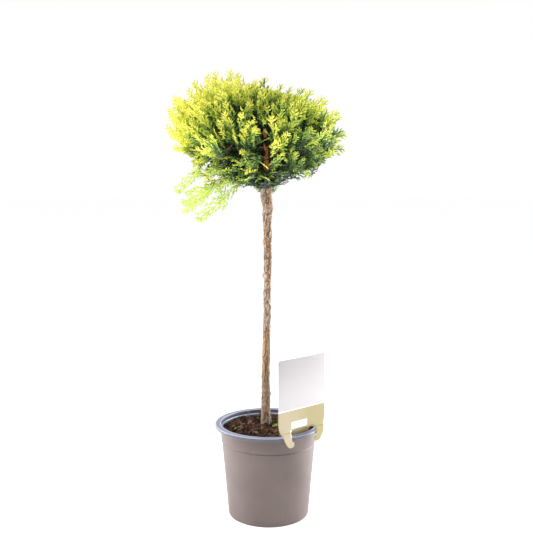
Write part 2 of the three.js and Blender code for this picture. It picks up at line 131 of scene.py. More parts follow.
def evenly_along(points: Array, shares: Array) -> Array:
    """Points at given shares of a polyline's length.

    Args:
        points: the polyline, N by 3.
        shares: shares of its length from 0 to 1.

    Returns:
        One point for each share.
    """
    steps = np.linalg.norm(np.diff(points, axis=0), axis=1)
    along = np.concatenate([[0.0], np.cumsum(steps)]) / steps.sum()
    return np.stack([np.interp(shares, along, points[:, k]) for k in range(3)], axis=-1)


def turned_about(vectors: Array, axis: Array, angle: Array) -> Array:
    """Vectors turned about unit axes by an angle, by Rodrigues' formula."""
    angle = np.asarray(angle, float)[..., None]
    along = np.sum(vectors * axis, axis=-1, keepdims=True) * axis
    across = np.cross(axis, vectors)
    return vectors * np.cos(angle) + across * np.sin(angle) + along * (1 - np.cos(angle))


def lattice_noise(u: Array, v: Array, cells: tuple[int, int], seed: int) -> Array:
    """Smooth noise from 0 to 1 that closes on itself along u.

    Random values at the corners of a grid of cells are blended with smooth steps.

    Args:
        u: first coordinate, 0 to 1, closed.
        v: second coordinate, 0 to 1.
        cells: number of cells along u and v.
        seed: start of the random values.

    Returns:
        Noise with the shape of u and v.
    """
    values = np.random.default_rng(seed).random((cells[0], cells[1] + 2))
    x = (u % 1) * cells[0]
    y = np.clip(v, 0, 1) * cells[1]
    i = np.floor(x).astype(int)
    j = np.floor(y).astype(int)
    fx = smoothstep(0, 1, x - i)
    fy = smoothstep(0, 1, y - j)
    left = i % cells[0]
    right = (i + 1) % cells[0]
    low = values[left, j] * (1 - fx) + values[right, j] * fx
    high = values[left, j + 1] * (1 - fx) + values[right, j + 1] * fx
    return low * (1 - fy) + high * fy


# Meshes


def put_object(name: str, data: bpy.types.ID) -> Piece:
    """A new object for some data, linked into the scene."""
    thing = bpy.data.objects.new(name, data)
    bpy.context.scene.collection.objects.link(thing)
    return thing


def put_mesh(
    name: str, points: Array, faces: list[Array], materials: list[Material],
    face_slots: Array | None = None, smooth: bool = True, uv: Array | None = None,
    crack: Array | None = None,
) -> Piece:
    """Make an object at the origin from whole arrays, and let it ride on the one body.

    Args:
        name: the piece's name.
        points: vertices in millimetres, N by 3.
        faces: arrays of triangles or quads, as vertex numbers.
        materials: materials of its slots.
        face_slots: the slot of each face, or None for slot 0.
        smooth: whether faces are shaded smoothly.
        uv: a UV pair for each vertex, or None.
        crack: how deep in a crack each vertex lies, from 0 to 1, or None.

    Returns:
        The new object.
    """
    mesh = bpy.data.meshes.new(name)
    sizes = np.concatenate([np.full(len(part), part.shape[1]) for part in faces])
    corners = np.concatenate([part.ravel() for part in faces])
    mesh.vertices.add(len(points))
    mesh.vertices.foreach_set("co", (points * MM).astype(np.float32).ravel())
    mesh.loops.add(len(corners))
    mesh.loops.foreach_set("vertex_index", corners.astype(np.int32))
    mesh.polygons.add(len(sizes))
    starts = np.concatenate([[0], np.cumsum(sizes)[:-1]])
    mesh.polygons.foreach_set("loop_start", starts.astype(np.int32))
    mesh.polygons.foreach_set("use_smooth", np.full(len(sizes), smooth))
    if face_slots is not None:
        mesh.polygons.foreach_set("material_index", face_slots.astype(np.int32))
    if uv is not None:
        layer = mesh.uv_layers.new(name="UVMap")
        layer.data.foreach_set("uv", uv[corners].astype(np.float32).ravel())
    if crack is not None:
        depth = mesh.attributes.new("crack", "FLOAT", "POINT")
        depth.data.foreach_set("value", crack.astype(np.float32).ravel())
    mesh.update(calc_edges=True)
    mesh.validate()
    for material in materials:
        mesh.materials.append(material)
    piece = put_object(name, mesh)
    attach(piece, "root")
    LOG.info("%s: %d vertices, %d faces", name, len(points), len(sizes))
    return piece


def grid_faces(rows: int, columns: int, closed: bool) -> Array:
    """Quads of a grid of points, numbered row by row.

    Args:
        rows: number of rows of points.
        columns: number of points in a row.
        closed: whether the last column joins the first.

    Returns:
        Quads, which face outwards on a tube whose rows turn left seen along it.
    """
    spans = columns if closed else columns - 1
    row, column = np.meshgrid(np.arange(rows - 1), np.arange(spans), indexing="ij")
    after = (column + 1) % columns
    quads = [row * columns + column, row * columns + after]
    quads += [(row + 1) * columns + after, (row + 1) * columns + column]
    return np.stack(quads, axis=-1).reshape(-1, 4)


def repeated_faces(faces: tuple[tuple[int, ...], ...], count: int) -> Array:
    """The faces of one small form, repeated for many forms with as many corners each."""
    one = np.array(faces)
    first = np.arange(count) * (one.max() + 1)
    return (first[:, None, None] + one).reshape(-1, one.shape[1])


def end_caps(rows: int, columns: int) -> list[Array]:
    """Triangle fans that close both ends of a tube's grid, by its two end rings."""
    first = np.arange(1, columns - 1)
    start = np.stack([np.zeros_like(first), first + 1, first], axis=-1)
    last = (rows - 1) * columns
    end = last + np.stack([np.zeros_like(first), first, first + 1], axis=-1)
    return [start, end]


def tubes(paths: Array, radii: Array, sides: int) -> tuple[Array, list[Array]]:
    """Many closed round tubes at once, each a ring carried along its own path.

    A ring point is the path point plus the radius times the cosine and sine of its angle along
    two directions square to the path.

    Args:
        paths: M paths of K points, M by K by 3.
        radii: radii at the points, M by K.
        sides: points in a ring.

    Returns:
        All points, and the faces.
    """
    count, rings, _ = paths.shape
    tangent = unit(np.gradient(paths, axis=1))
    chord = unit(paths[:, -1] - paths[:, 0])
    steep = np.abs(chord[:, 2:]) > 0.8
    helper = np.where(steep, np.array([1.0, 0, 0]), UP)
    helper = np.broadcast_to(helper[:, None], paths.shape)
    first = unit(helper - np.sum(helper * tangent, axis=-1, keepdims=True) * tangent)
    second = np.cross(tangent, first)
    angle = ring_angles(sides)[:, None]
    circle = np.cos(angle) * first[:, :, None] + np.sin(angle) * second[:, :, None]
    points = (paths[:, :, None] + radii[:, :, None, None] * circle).reshape(-1, 3)
    one = [grid_faces(rings, sides, True), *end_caps(rings, sides)]
    shift = (np.arange(count) * rings * sides)[:, None, None]
    return points, [(part[None] + shift).reshape(-1, part.shape[1]) for part in one]


def turned_surface(profile: Array, segments: int) -> tuple[Array, list[Array]]:
    """A profile of radius and height turned about +Z, closed into a fan where it meets the axis.

    Args:
        profile: pairs of radius and height, from the bottom outside to the inside.
        segments: points round the axis.

    Returns:
        Points and faces.
    """
    on_axis = [profile[0, 0] < TINY, profile[-1, 0] < TINY]
    rings = profile[int(on_axis[0]) : len(profile) - int(on_axis[1])]
    angle = ring_angles(segments)
    x = rings[:, :1] * np.cos(angle)
    y = rings[:, :1] * np.sin(angle)
    z = np.broadcast_to(rings[:, 1:], x.shape)
    points = [np.stack([x, y, z], axis=-1).reshape(-1, 3)]
    faces = [grid_faces(len(rings), segments, True)]
    around = np.arange(segments)
    count = len(rings) * segments
    for last in (False, True):
        if not on_axis[last]:
            continue
        points.append(np.array([[0.0, 0.0, profile[-1 if last else 0, 1]]]))
        ring_start = (len(rings) - 1) * segments * last
        ring = around + ring_start
        after = (around + 1) % segments + ring_start
        pole = np.full(segments, count)
        faces.append(np.stack([ring, after, pole] if last else [after, ring, pole], axis=-1))
        count += 1
    return np.concatenate(points), faces


def filleted(corners: Array, radii: Array, steps: int = 5) -> Array:
    """A polyline whose corners are rounded by short quadratic curves.

    Args:
        corners: the polyline, N by 2.
        radii: how far from each corner its curve starts.
        steps: points on each curve.

    Returns:
        The rounded polyline.
    """
    at = corners[1:-1]
    ends = []
    for neighbour in (corners[:-2], corners[2:]):
        way = neighbour - at
        room = np.linalg.norm(way, axis=1, keepdims=True)
        ends.append(at + way / room * np.minimum(radii[1:-1, None], 0.48 * room))
    start, end = (side[:, None] for side in ends)
    t = np.linspace(0, 1, steps)[None, :, None]
    curve = (1 - t) ** 2 * start + 2 * t * (1 - t) * at[:, None] + t * t * end
    return np.concatenate([corners[:1], curve.reshape(-1, 2), corners[-1:]])


# Finishes


def colour(code: str) -> Four:
    """The linear colour of a hexadecimal screen colour such as "a3958c"."""
    parts = [int(code[i : i + 2], 16) / 255 for i in (0, 2, 4)]
    linear = [c / 12.92 if c <= 0.04045 else ((c + 0.055) / 1.055) ** 2.4 for c in parts]
    return (*linear, 1.0)


class Recipe:
    """A material in the making: its node tree, with short ways to add what finishes need."""

    # The Mix node's colour sockets, which share their names with its other kinds of socket.
    first_colour, second_colour, mixed_colour = 6, 7, 2

    def __init__(self, name: str, roughness: float, specular: float = 0.5) -> None:
        """Make the material, and set the roughness and specular level on its shader."""
        self.material = bpy.data.materials.new(name)
        self.material.use_nodes = True
        self.nodes = self.material.node_tree.nodes
        self.links = self.material.node_tree.links
        self.shader = self.nodes["Principled BSDF"]
        self.shade("Roughness", roughness)
        self.shade("Specular IOR Level", specular)

    def feed(self, value: object, socket: Socket) -> None:
        """Link a socket, or set a plain value or the colour of a code, on an input."""
        if isinstance(value, Socket):
            self.links.new(value, socket)
        else:
            socket.default_value = colour(value) if isinstance(value, str) else value

    def shade(self, name: str, value: object) -> None:
        """Feed an input of the shader."""
        self.feed(value, self.shader.inputs[name])

    def node(self, kind: str, inputs: dict[object, object], **settings: object) -> bpy.types.Node:
        """A new node.

        Args:
            kind: its type, without the usual prefix.
            inputs: values or sockets for its inputs, by name or number.
            settings: its other settings.
        """
        node = self.nodes.new("ShaderNode" + kind)
        for name, value in settings.items():
            setattr(node, name, value)
        for name, value in inputs.items():
            self.feed(value, node.inputs[name])
        return node

    def place(self, stretch: Triple = (1, 1, 1)) -> Socket:
        """Object coordinates in metres, stretched along each axis."""
        source = self.node("TexCoord", {}).outputs["Object"]
        return self.node("Mapping", {"Vector": source, "Scale": stretch}).outputs["Vector"]

    def parts(self, vector: Socket) -> tuple[Socket, ...]:
        """The three parts of a vector."""
        return tuple(self.node("SeparateXYZ", {"Vector": vector}).outputs)

    def noise(self, vector: Socket, scale: float, detail: float = 3, rough: float = 0.5) -> Socket:
        """A noise value, with its size set by scale in cells per metre."""
        sizes = {"Vector": vector, "Scale": scale, "Detail": detail, "Roughness": rough}
        return self.node("TexNoise", sizes).outputs["Fac"]

    def between(self, value: Socket, low: float, high: float, to: Pair = (0, 1)) -> Socket:
        """A value mapped smoothly from low and high to two new limits."""
        limits = {"Value": value, "From Min": low, "From Max": high, "To Min": to[0], "To Max": to[1]}
        return self.node("MapRange", limits, interpolation_type="SMOOTHSTEP").outputs["Result"]

    def blend(self, share: object, first: object, second: object) -> Socket:
        """Two colours blended by a share from 0 to 1."""
        inputs = {"Factor": share, self.first_colour: first, self.second_colour: second}
        return self.node("Mix", inputs, data_type="RGBA").outputs[self.mixed_colour]

    def tint(self, tone: Socket, mask: Socket, strength: float, code: str) -> Socket:
        """A colour moved towards a plain one, by a mask times a strength."""
        return self.blend(self.maths("MULTIPLY", mask, strength), tone, code)

    def maths(self, what: str, first: object, second: object = 0.0) -> Socket:
        """One step of arithmetic on values."""
        return self.node("Math", {0: first, 1: second}, operation=what).outputs[0]

    def grain(self, fine: float, broad: float, place: Socket | None = None) -> tuple[Socket, Socket]:
        """The shared grain effect's grain and blotches, in cells per metre."""
        inputs = {"Vector": place or self.place(), "Fine": fine, "Broad": broad}
        tree = bpy.data.node_groups.get("grain") or grain_effect()
        return tuple(self.node("Group", inputs, node_tree=tree).outputs)

    def finish(
        self, base: object, height: Socket | None = None, depth: float = 0.0,
        rough: Socket | None = None,
    ) -> Material:
        """Link the shader.

        Args:
            base: base colour, plain or from nodes.
            height: relief from 0 to 1, or None.
            depth: how deep the relief is, in metres.
            rough: roughness from nodes, or None for the shader's own.

        Returns:
            The finished material.
        """
        self.shade("Base Color", base)
        if rough is not None:
            self.shade("Roughness", rough)
        if height is not None:
            bump = self.node("Bump", {"Distance": depth, "Height": height})
            self.shade("Normal", bump.outputs["Normal"])
        return self.material


def grain_effect() -> NodeTree:
    """The shared effect of fine grain over broad blotches: two noises, spread from 0 to 1."""
    tree = bpy.data.node_groups.new("grain", "ShaderNodeTree")
    sockets = {"Vector": "INPUT", "Fine": "INPUT", "Broad": "INPUT", "Grain": "OUTPUT", "Blotch": "OUTPUT"}
    for name, way in sockets.items():
        kind = "NodeSocketVector" if name == "Vector" else "NodeSocketFloat"
        tree.interface.new_socket(name, in_out=way, socket_type=kind)
    source = tree.nodes.new("NodeGroupInput")
    target = tree.nodes.new("NodeGroupOutput")
    for size, result, detail in (("Fine", "Grain", 4), ("Broad", "Blotch", 2)):
        noise = tree.nodes.new("ShaderNodeTexNoise")
        noise.inputs["Detail"].default_value = detail
        spread = tree.nodes.new("ShaderNodeMapRange")
        spread.inputs["From Min"].default_value = 0.3
        spread.inputs["From Max"].default_value = 0.7
        tree.links.new(source.outputs["Vector"], noise.inputs["Vector"])
        tree.links.new(source.outputs[size], noise.inputs["Scale"])
        tree.links.new(noise.outputs["Fac"], spread.inputs["Value"])
        tree.links.new(spread.outputs["Result"], target.inputs[result])
    return tree


@dataclass(frozen=True)
class PotPlastic:
    """Satin moulded plastic with faint flow marks, scuffs and a little dust.

    Heights and depths are in metres, and the sizes of its patterns in cells per metre.
    """

    name: str
    base: str
    pale: str
    dusty: str
    roughness: float = 0.42
    # The dark tone of the painted shade on the inner wall, and the lighter tone of its painted rib stripes.
    deep: str = ""
    rib: str = "6a6f7e"
    painted_shade_top: float = 0.1294
    painted_shade_foot: float = 0.1246
    painted_shade_share: float = 0.75
    rib_pitch: float = 0.0015
    fine_grain: float = 2600.0
    broad_grain: float = 22.0
    streak_grain: float = 240.0
    scuff_grain: float = 90.0
    dust: float = 0.3
    scuff_roughness: float = 0.18
    relief: float = 0.00006

    def material(self) -> Material:
        """Make the material."""
        recipe = Recipe(self.name, self.roughness)
        place = recipe.place()
        grain, blotch = recipe.grain(self.fine_grain, self.broad_grain, place)
        streaks = recipe.noise(recipe.place((1, 1, 0.12)), self.streak_grain)
        scuffs = recipe.noise(recipe.place((1, 1, 0.35)), self.scuff_grain, 6, 0.7)
        scuffs = recipe.between(scuffs, 0.58, 0.75)
        tone = recipe.blend(blotch, self.base, self.pale)
        # Painted shade on the inner wall under the lip, where the rim keeps the light off.
        if self.deep:
            tone = self.paint_inner_shade(recipe, tone, recipe.parts(place)[2])
        tone = recipe.tint(tone, scuffs, self.dust, self.dusty)
        speck = recipe.maths("MULTIPLY", grain, 0.25)
        height = recipe.maths("ADD", speck, streaks)
        rough = recipe.between(scuffs, 0, 1, (self.roughness, self.roughness + self.scuff_roughness))
        return recipe.finish(tone, height, self.relief, rough)

    def paint_inner_shade(self, recipe: Recipe, tone: Socket, height: Socket) -> Socket:
        """Paint shade on the inner wall under the lip: light and dark stripes at its top, painted
        light and shade that stand for fine ribs, and a darker tone below them.

        Args:
            recipe: the material in the making.
            tone: the colour so far.
            height: the height of the point.

        Returns:
            The darkened colour.
        """
        top, foot = self.painted_shade_top, self.painted_shade_foot
        under_lip = recipe.between(height, top + 0.0006, top)
        band = recipe.maths("MULTIPLY", under_lip, recipe.between(height, foot, foot + 0.0004))
        wave = recipe.maths("SINE", recipe.maths("MULTIPLY", height, math.tau / self.rib_pitch))
        painted_ribs = recipe.blend(recipe.between(wave, 0.2, 1), self.deep, self.rib)
        below = recipe.between(height, foot - 0.0006, foot - 0.0022)
        return recipe.blend(band, recipe.tint(tone, below, self.painted_shade_share, self.deep), painted_ribs)


@dataclass(frozen=True)
class Bark:
    """Flaking bark: dark cracks, pale flakes and ochre patches where flakes have come off.

    Heights and depths are in metres, and the sizes of its patterns in cells per metre.
    """

    name: str
    dark: str
    pale: str
    ochre: str
    mossy: str
    ochre_share: float = 0.5
    size: float = 1.0
    leader_from: float = 9.0
    leader_span: float = 0.016
    # The leader's tone is painted lighter than its bark's own, and its glow is painted light as well.
    leader_tone: str = "dc9660"
    leader_glow: float = 0.0
    crack_tone: str = "463e2e"
    base_tone: str = "6c6254"
    base_heights: Pair = (0.27, 0.14)
    base_share: float = 0.55
    fine_grain: float = 1100.0
    broad_grain: float = 210.0
    flake_grain: float = 420.0
    moss_grain: float = 70.0
    streak_grain: float = 210.0
    relief: float = 0.0009

    def material(self) -> Material:
        """Make the material.

        The leader's tone, the orange-brown of young bark, is made lighter as painted light, and it
        also glows a little, because the sprays round it shut out the light.
        """
        recipe = Recipe(self.name, 0.85, 0.25)
        fine, broad = self.fine_grain / self.size, self.broad_grain / self.size
        grain, blotch = recipe.grain(fine, broad, recipe.place((1, 1, 0.22)))
        flakes = recipe.noise(recipe.place((1, 1, 0.3)), self.flake_grain / self.size, 4, 0.65)
        tone = recipe.blend(recipe.between(flakes, 0.34, 0.6), self.dark, self.pale)
        bare = recipe.between(blotch, 1 - self.ochre_share, 1.3 - self.ochre_share)
        tone = recipe.tint(tone, bare, 0.4, self.ochre)
        moss = recipe.noise(recipe.place(), self.moss_grain / self.size)
        tone = recipe.tint(tone, recipe.between(moss, 0.55, 0.68), 0.5, self.mossy)
        height = recipe.parts(recipe.place())[2]
        young = recipe.between(height, self.leader_from, self.leader_from + self.leader_span)
        # Painted light: the leader's lighter tone and its glow make up for the light that the sprays shut
        # out.
        tone = recipe.tint(tone, young, 0.9, self.leader_tone)
        glow = recipe.blend(young, "000000", self.leader_tone)
        recipe.shade("Emission Color", glow)
        recipe.shade("Emission Strength", self.leader_glow)
        cracks = recipe.between(grain, 0.0, 0.38, (0.45, 0))
        tone = recipe.blend(cracks, tone, self.dark)
        streaks = recipe.noise(recipe.place((1, 1, 0.1)), self.streak_grain / self.size, 2)
        tone = recipe.tint(tone, recipe.between(streaks, 0.5, 0.6), 0.6, self.ochre)
        base = recipe.between(height, *self.base_heights, (0, self.base_share))
        tone = recipe.blend(base, tone, self.base_tone)
        depth = recipe.node("Attribute", {}, attribute_name="crack").outputs["Fac"]
        tone = recipe.tint(tone, depth, 0.85, self.crack_tone)
        relief = recipe.maths("ADD", flakes, recipe.maths("MULTIPLY", grain, 0.5))
        return recipe.finish(tone, relief, self.relief * self.size)


@dataclass(frozen=True)
class Crumb:
    """Matt crumbs and chips, with fine grain and dark damp patches."""

    name: str
    base: str
    damp: str
    fine_grain: float = 1500.0
    broad_grain: float = 240.0
    relief: float = 0.0005

    def material(self) -> Material:
        """Make the material."""
        recipe = Recipe(self.name, 0.92, 0.2)
        grain, blotch = recipe.grain(self.fine_grain, self.broad_grain)
        tone = recipe.blend(blotch, self.damp, self.base)
        return recipe.finish(tone, grain, self.relief)


@dataclass(frozen=True)
class CardPrint:
    """Smooth card in two plain fields with a pale line between them, by its UV map in metres.

    The lower field is paler on its left: a painted glare.
    """

    name: str = "card_print"
    upper_tones: tuple[str, str] = ("aca8aa", "969294")
    lower_tones_and_glare: tuple[str, str] = ("9e9172", "8b7e48")
    line_tone: str = "f6f5f2"
    panel_tone: str = "f4f2ef"
    worn_tone: str = "b9b4ae"
    field_border: float = 0.166
    line: float = 0.0011
    panel_low: Pair = (-0.019, 0.1403)
    panel_high: Pair = (0.009, 0.1494)
    fine_grain: float = 1800.0
    broad_grain: float = 16.0
    relief: float = 0.00003

    def material(self) -> Material:
        """Make the material."""
        recipe = Recipe(self.name, 0.36)
        along, up, _ = recipe.parts(recipe.node("UVMap", {}).outputs["UV"])
        grain, blotch = recipe.grain(self.fine_grain, self.broad_grain)
        upper = recipe.blend(recipe.between(up, 0.17, 0.235), *self.upper_tones)
        # Painted glare: the lower field is paler on its left.
        lower = recipe.blend(recipe.between(along, -0.03, 0.02), *self.lower_tones_and_glare)
        tone = recipe.blend(recipe.maths("GREATER_THAN", up, self.field_border), lower, upper)
        offset = recipe.maths("ABSOLUTE", recipe.maths("SUBTRACT", up, self.field_border))
        on_line = recipe.maths("LESS_THAN", offset, self.line / 2)
        tone = recipe.blend(on_line, tone, self.line_tone)
        inside = recipe.maths("GREATER_THAN", along, self.panel_low[0])
        for what, value, limit in (
            ("LESS_THAN", along, self.panel_high[0]),
            ("GREATER_THAN", up, self.panel_low[1]),
            ("LESS_THAN", up, self.panel_high[1]),
        ):
            inside = recipe.maths("MULTIPLY", inside, recipe.maths(what, value, limit))
        tone = recipe.blend(inside, tone, self.panel_tone)
        tone = recipe.tint(tone, blotch, 0.12, self.worn_tone)
        return recipe.finish(tone, grain, self.relief)


class LeafTone(Enum):
    """The plain colours that the sprays are dealt, from the sunlit tips to the shaded heart.

    They are partly the real gold and green of sunlit and shaded growth and partly painted light
    and shade; the darkest, SHADE, is mostly painted shade.
    """

    LEMON = "e2e05e"
    GOLD = "ccd048"
    LIME = "aac04a"
    FRESH = "c3d770"
    LEAF = "7a9442"
    DEEP = "44632b"
    SHADE = "263a20"

    def material(self) -> Material:
        """A plain matt leaf colour."""
        recipe = Recipe(f"leaf_{self.name.lower()}", 0.55, 0.35)
        return recipe.finish(self.value)


# Limbs


@dataclass(frozen=True)
class Tier:
    """A ring of foliage masses round the head, and the limbs that carry them."""

    name: str
    count: int
    turn: float
    radius: float
    height: float
    foot: float
    rise: float
    bough: float = 0.0
    arch: float = 0.0


@dataclass
class Mass:
    """One mass of foliage: its heart, its bough and the stem that its sprays leave."""

    name: str
    tier: Tier
    heart: Array
    foot: Array
    bough: Array | None = None
    stem: Arrays = ()
    sprays: list["Spray"] = field(default_factory=list)

    @property
    def drooping(self) -> bool:
        """Whether it is the mass that hangs to the left."""
        return self.tier.name == "drooping"

    def stem_at(self, shares: Array) -> Array:
        """Points of the mass's stem."""
        return bezier(*self.stem, shares)


@dataclass
class Spray:
    """One flat spray: where its twig leaves the stem, where its blade starts, and its frame."""

    mass: Mass
    foot: Array
    root: Array
    aim: Array
    face: Array
    length: float
    samples: Array


@dataclass(frozen=True)
class Lobe:
    """A part of the head's surface over which the tips of sprays are dealt."""

    count: int
    centre: Triple
    reach: Triple
    lean: float
    seed: int
    pull: Triple
    thinned: bool

    def depth_share(self, points: Array) -> Array:
        """How far out points lie: 0 at the lobe's centre and 1 on its surface."""
        offset = points - np.array(self.centre)
        offset = offset - self.lean * offset[..., :1] * UP
        return np.linalg.norm(offset / np.array(self.reach), axis=-1)


@dataclass
class Limbs:
    """The stem, its leader and the boughs, and the rule by which the head grows on them.

    A station is a height, the axis there in X and Y, and the radius.
    """

    gap: float = 0.3
    stations: tuple[Four, ...] = (
        (123.3, -3.2, 12, 8.2), (136, -3.6, 12, 6.7), (185, -4.1, 12, 6.1), (240, -3.0, 12, 5.6),
        (300, -2.0, 12, 5.2), (350, -1.2, 11.5, 5.3), (405, -1.4, 11, 5.6), (438, -2.0, 10.5, 6.3),
        (454, -2.6, 10, 7.0), (468, -2.8, 9.5, 5.0), (490, -3.0, 9, 3.4), (520, -4.2, 8, 2.7),
        (545, -5.6, 7, 2.2),
    )
    soft_points: int = 400
    soft_span: int = 25
    head: Lobe = Lobe(175, (-17, 6, 526), (118, 113, 83), -0.15, 7919, (0, 0, 1.3), True)
    droop: Lobe = Lobe(30, (-78, -10, 455), (42, 36, 38), 0, 15838, (-0.8, -0.1, -0.9), False)
    tiers: tuple[Tier, ...] = (
        Tier("lower", 7, 200, 74, 514, 456, 9, 2.6, 6),
        Tier("upper", 5, 232, 56, 560, 496, 11, 1.9, 4),
        Tier("top", 1, 180, 2, 576, 545, 0),
        Tier("drooping", 1, 188, 62, 456, 450, 0, 2.2, 18),
    )
    bough_taper: float = 0.62
    bough_crook: float = 0.26
    bough_shares: Pair = (0.7, 0.9)
    stem_reach: float = 1.35
    stem_bend: float = 0.4
    spray_length: Pair = (46, 12)
    spray_swing: Pair = (0.35, 0.5)
    spray_sizes: Row = (1, 0.8, 0.62)
    spray_lifts: Row = (0.62, 0.35, 0.1)
    spray_swings: Row = (1, -1, 0)
    spray_half: float = 0.75 * 0.29
    sample_shares: Row = (0.15, 0.32, 0.5, 0.68, 0.84, 1)
    twig_limits: Pair = (6, 48)
    twig_bends: Pair = (0.05, 0.995)
    spray_gap: float = 6.5
    masses: list[Mass] = field(default_factory=list)

    def stem_point(self, height: Array) -> Array:
        """Points of the stem's axis by height, on the stations' line softened by a moving mean."""
        table = np.array(self.stations)
        fine = np.linspace(table[0, 0], table[-1, 0], self.soft_points)
        soft = np.ones(self.soft_span) / self.soft_span
        edge = self.soft_span // 2
        height = np.asarray(height, float)
        axis = []
        for column in (1, 2):
            row = np.pad(np.interp(fine, table[:, 0], table[:, column]), edge, mode="edge")
            axis.append(np.interp(height, fine, np.convolve(row, soft, mode="valid")))
        return np.stack([*axis, height], axis=-1)

    def stem_radius(self, height: Array) -> Array:
        """Radii of the stem at given heights."""
        table = np.array(self.stations)
        return np.interp(height, table[:, 0], table[:, 3])

    def plan_masses(self) -> None:
        """Place the heart of each mass, and lead a bough and a stem to it."""
        x, y, _ = self.head.centre
        for tier in self.tiers:
            for i in range(tier.count):
                out = tier.radius * level_way(math.radians(tier.turn + 360 * i / tier.count))
                heart = np.array([x, y, tier.height]) + out + self.head.lean * out[0] * UP
                foot = self.stem_point(tier.foot + tier.rise * (i % 2) + tier.rise / tier.count * i)
                name = tier.name + (f"_{i + 1}" if tier.count > 1 else "")
                self.masses.append(Mass(name, tier, heart, foot))
        for mass in self.masses:
            self.lead_limbs(mass)

    def lead_limbs(self, mass: Mass) -> None:
        """Lead a bough towards a mass's heart, and grow the mass's stem on from its tip.

        The bough ends well inside the mass's space. The top mass has none, and its stem grows on
        from the leader.

        Args:
            mass: the mass, which gets its bough and its stem.
        """
        if mass.tier.bough:
            outward = (mass.heart - mass.foot) * np.array([1, 1, 0])
            rise = 0.5 * (mass.heart[2] - mass.foot[2]) + mass.tier.arch
            crook = mass.foot + self.bough_crook * outward + rise * UP
            whole = bezier(mass.foot, crook, mass.heart, np.linspace(0, 1, 120))
            share, most = self.bough_shares
            while share < most and self.depth(evenly_along(whole, [share]), mass)[0] < 5:
                share += 0.02
            limb = mass.bough = evenly_along(whole, np.linspace(0, share, 24))
        else:
            top = self.stations[-1][0]
            limb = self.stem_point(np.linspace(top - 20, top, 12))
        forward = unit(limb[-1] - limb[-2])
        start = limb[-1] + self.gap * forward
        end = start + self.stem_reach * (mass.heart - start)
        bend = start + self.stem_bend * np.linalg.norm(end - start) * forward
        mass.stem = (start, bend, end)

    def depth(self, points: Array, mass: Mass) -> Array:
        """How far points lie inside a mass's space: the distance to the nearest halfway plane.

        Args:
            points: the points, N by 3.
            mass: the mass that owns the space.

        Returns:
            Distances, below 0 outside the space.
        """
        own = np.sum((points - mass.heart) ** 2, axis=-1)
        depths = []
        for other in self.masses:
            if other is not mass:
                apart = np.linalg.norm(other.heart - mass.heart)
                depths.append((np.sum((points - other.heart) ** 2, axis=-1) - own) / (2 * apart))
        return np.min(depths, axis=0)

    def limb_points(self) -> tuple[Array, Array]:
        """Points along the axes of all limbs, with their radii."""
        heights = np.linspace(430, self.stations[-1][0], 60)
        points = [self.stem_point(heights)]
        radii = [self.stem_radius(heights)]
        for mass in self.masses:
            if mass.bough is not None:
                points.append(mass.bough)
                taper = np.linspace(1, self.bough_taper, len(mass.bough))
                radii.append(mass.tier.bough * taper)
        return np.concatenate(points), np.concatenate(radii)

    def deal_sprays(self) -> int:
        """Deal sprays over the head by the rule of the solids.

        Each tip on a lobe's surface belongs to the nearest mass. The liked ways to reach it are
        tried first, and the first that keeps to the mass's space is taken.

        Returns:
            The number of sprays.
        """
        limbs = self.limb_points()
        for lobe in (self.head, self.droop):
            for index in range(lobe.count):
                up = 1 - (2 * index + 1) / lobe.count
                if lobe.thinned and (up < -0.76 or (up < -0.42 and index % 2)):
                    continue
                for spray in self.ways(lobe, index, up):
                    if self.fits(spray, *limbs):
                        spray.mass.sprays.append(spray)
                        break
        return sum(len(mass.sprays) for mass in self.masses)

    def ways(self, lobe: Lobe, index: int, up: float) -> Iterator[Spray]:
        """The ways in which one spray may reach its place, the liked ones first.

        Args:
            lobe: the lobe on whose surface its tip lies.
            index: its number on the lobe.
            up: the height of its direction, from -1 to 1.

        Yields:
            Sprays, by size, then by lift, then by swing.
        """
        run = SeededRun(lobe.seed + index)
        out = spiral_way(up, index * GOLDEN_TURN)
        reach = np.array(lobe.reach)
        tip = out * reach * (1 - 0.08 * run.next())
        tip[2] += lobe.lean * tip[0]
        tip = tip + np.array(lobe.centre)
        normal = unit(out / reach)
        sideways = unit(np.array([-normal[1], normal[0], 0]))
        length = self.spray_length[0] + self.spray_length[1] * run.next()
        wide = self.spray_swing[0] + self.spray_swing[1] * run.next()
        owner = min(self.masses, key=lambda mass: float(np.linalg.norm(tip - mass.heart)))
        choices = (self.spray_sizes, self.spray_lifts, self.spray_swings)
        for size, lift, swing in itertools.product(*choices):
            aim = normal * (1 - lift) + np.array(lobe.pull) * lift * (1 + min(0, 1.6 * up))
            aim = aim + sideways * swing * wide * (0.3 + 0.7 * lift)
            yield self.framed(tip, unit(aim), size * length, owner)

    def framed(self, tip: Array, aim: Array, length: float, mass: Mass) -> Spray:
        """Set a spray back from its tip, and lead its twig from the mass's stem.

        Args:
            tip: where it ends.
            aim: its direction.
            length: its length.
            mass: the mass whose stem its twig leaves.
        """
        root = tip - length * aim
        shares = np.arange(0, 1.0001, 0.05)
        share = shares[np.argmin(np.linalg.norm(mass.stem_at(shares) - root, axis=1))]
        foot = mass.stem_at(max(0.1, share - 0.2))
        across = unit(np.cross(unit(root - foot), aim))
        along = np.array(self.sample_shares)
        half = self.spray_half * length * self.width(np.minimum(along, 0.94))
        side = np.array([-1, 0, 1])
        samples = root + (along * length)[:, None, None] * aim
        samples = samples + (half[:, None] * side)[:, :, None] * across
        return Spray(mass, foot, root, aim, np.cross(aim, across), length, samples.reshape(-1, 3))

    @staticmethod
    def width(share: Array) -> Array:
        """A spray's half width at a share of its length, as a share of the widest half width."""
        return np.sin(math.pi * (0.14 + 0.86 * share) ** 0.8) ** 0.8

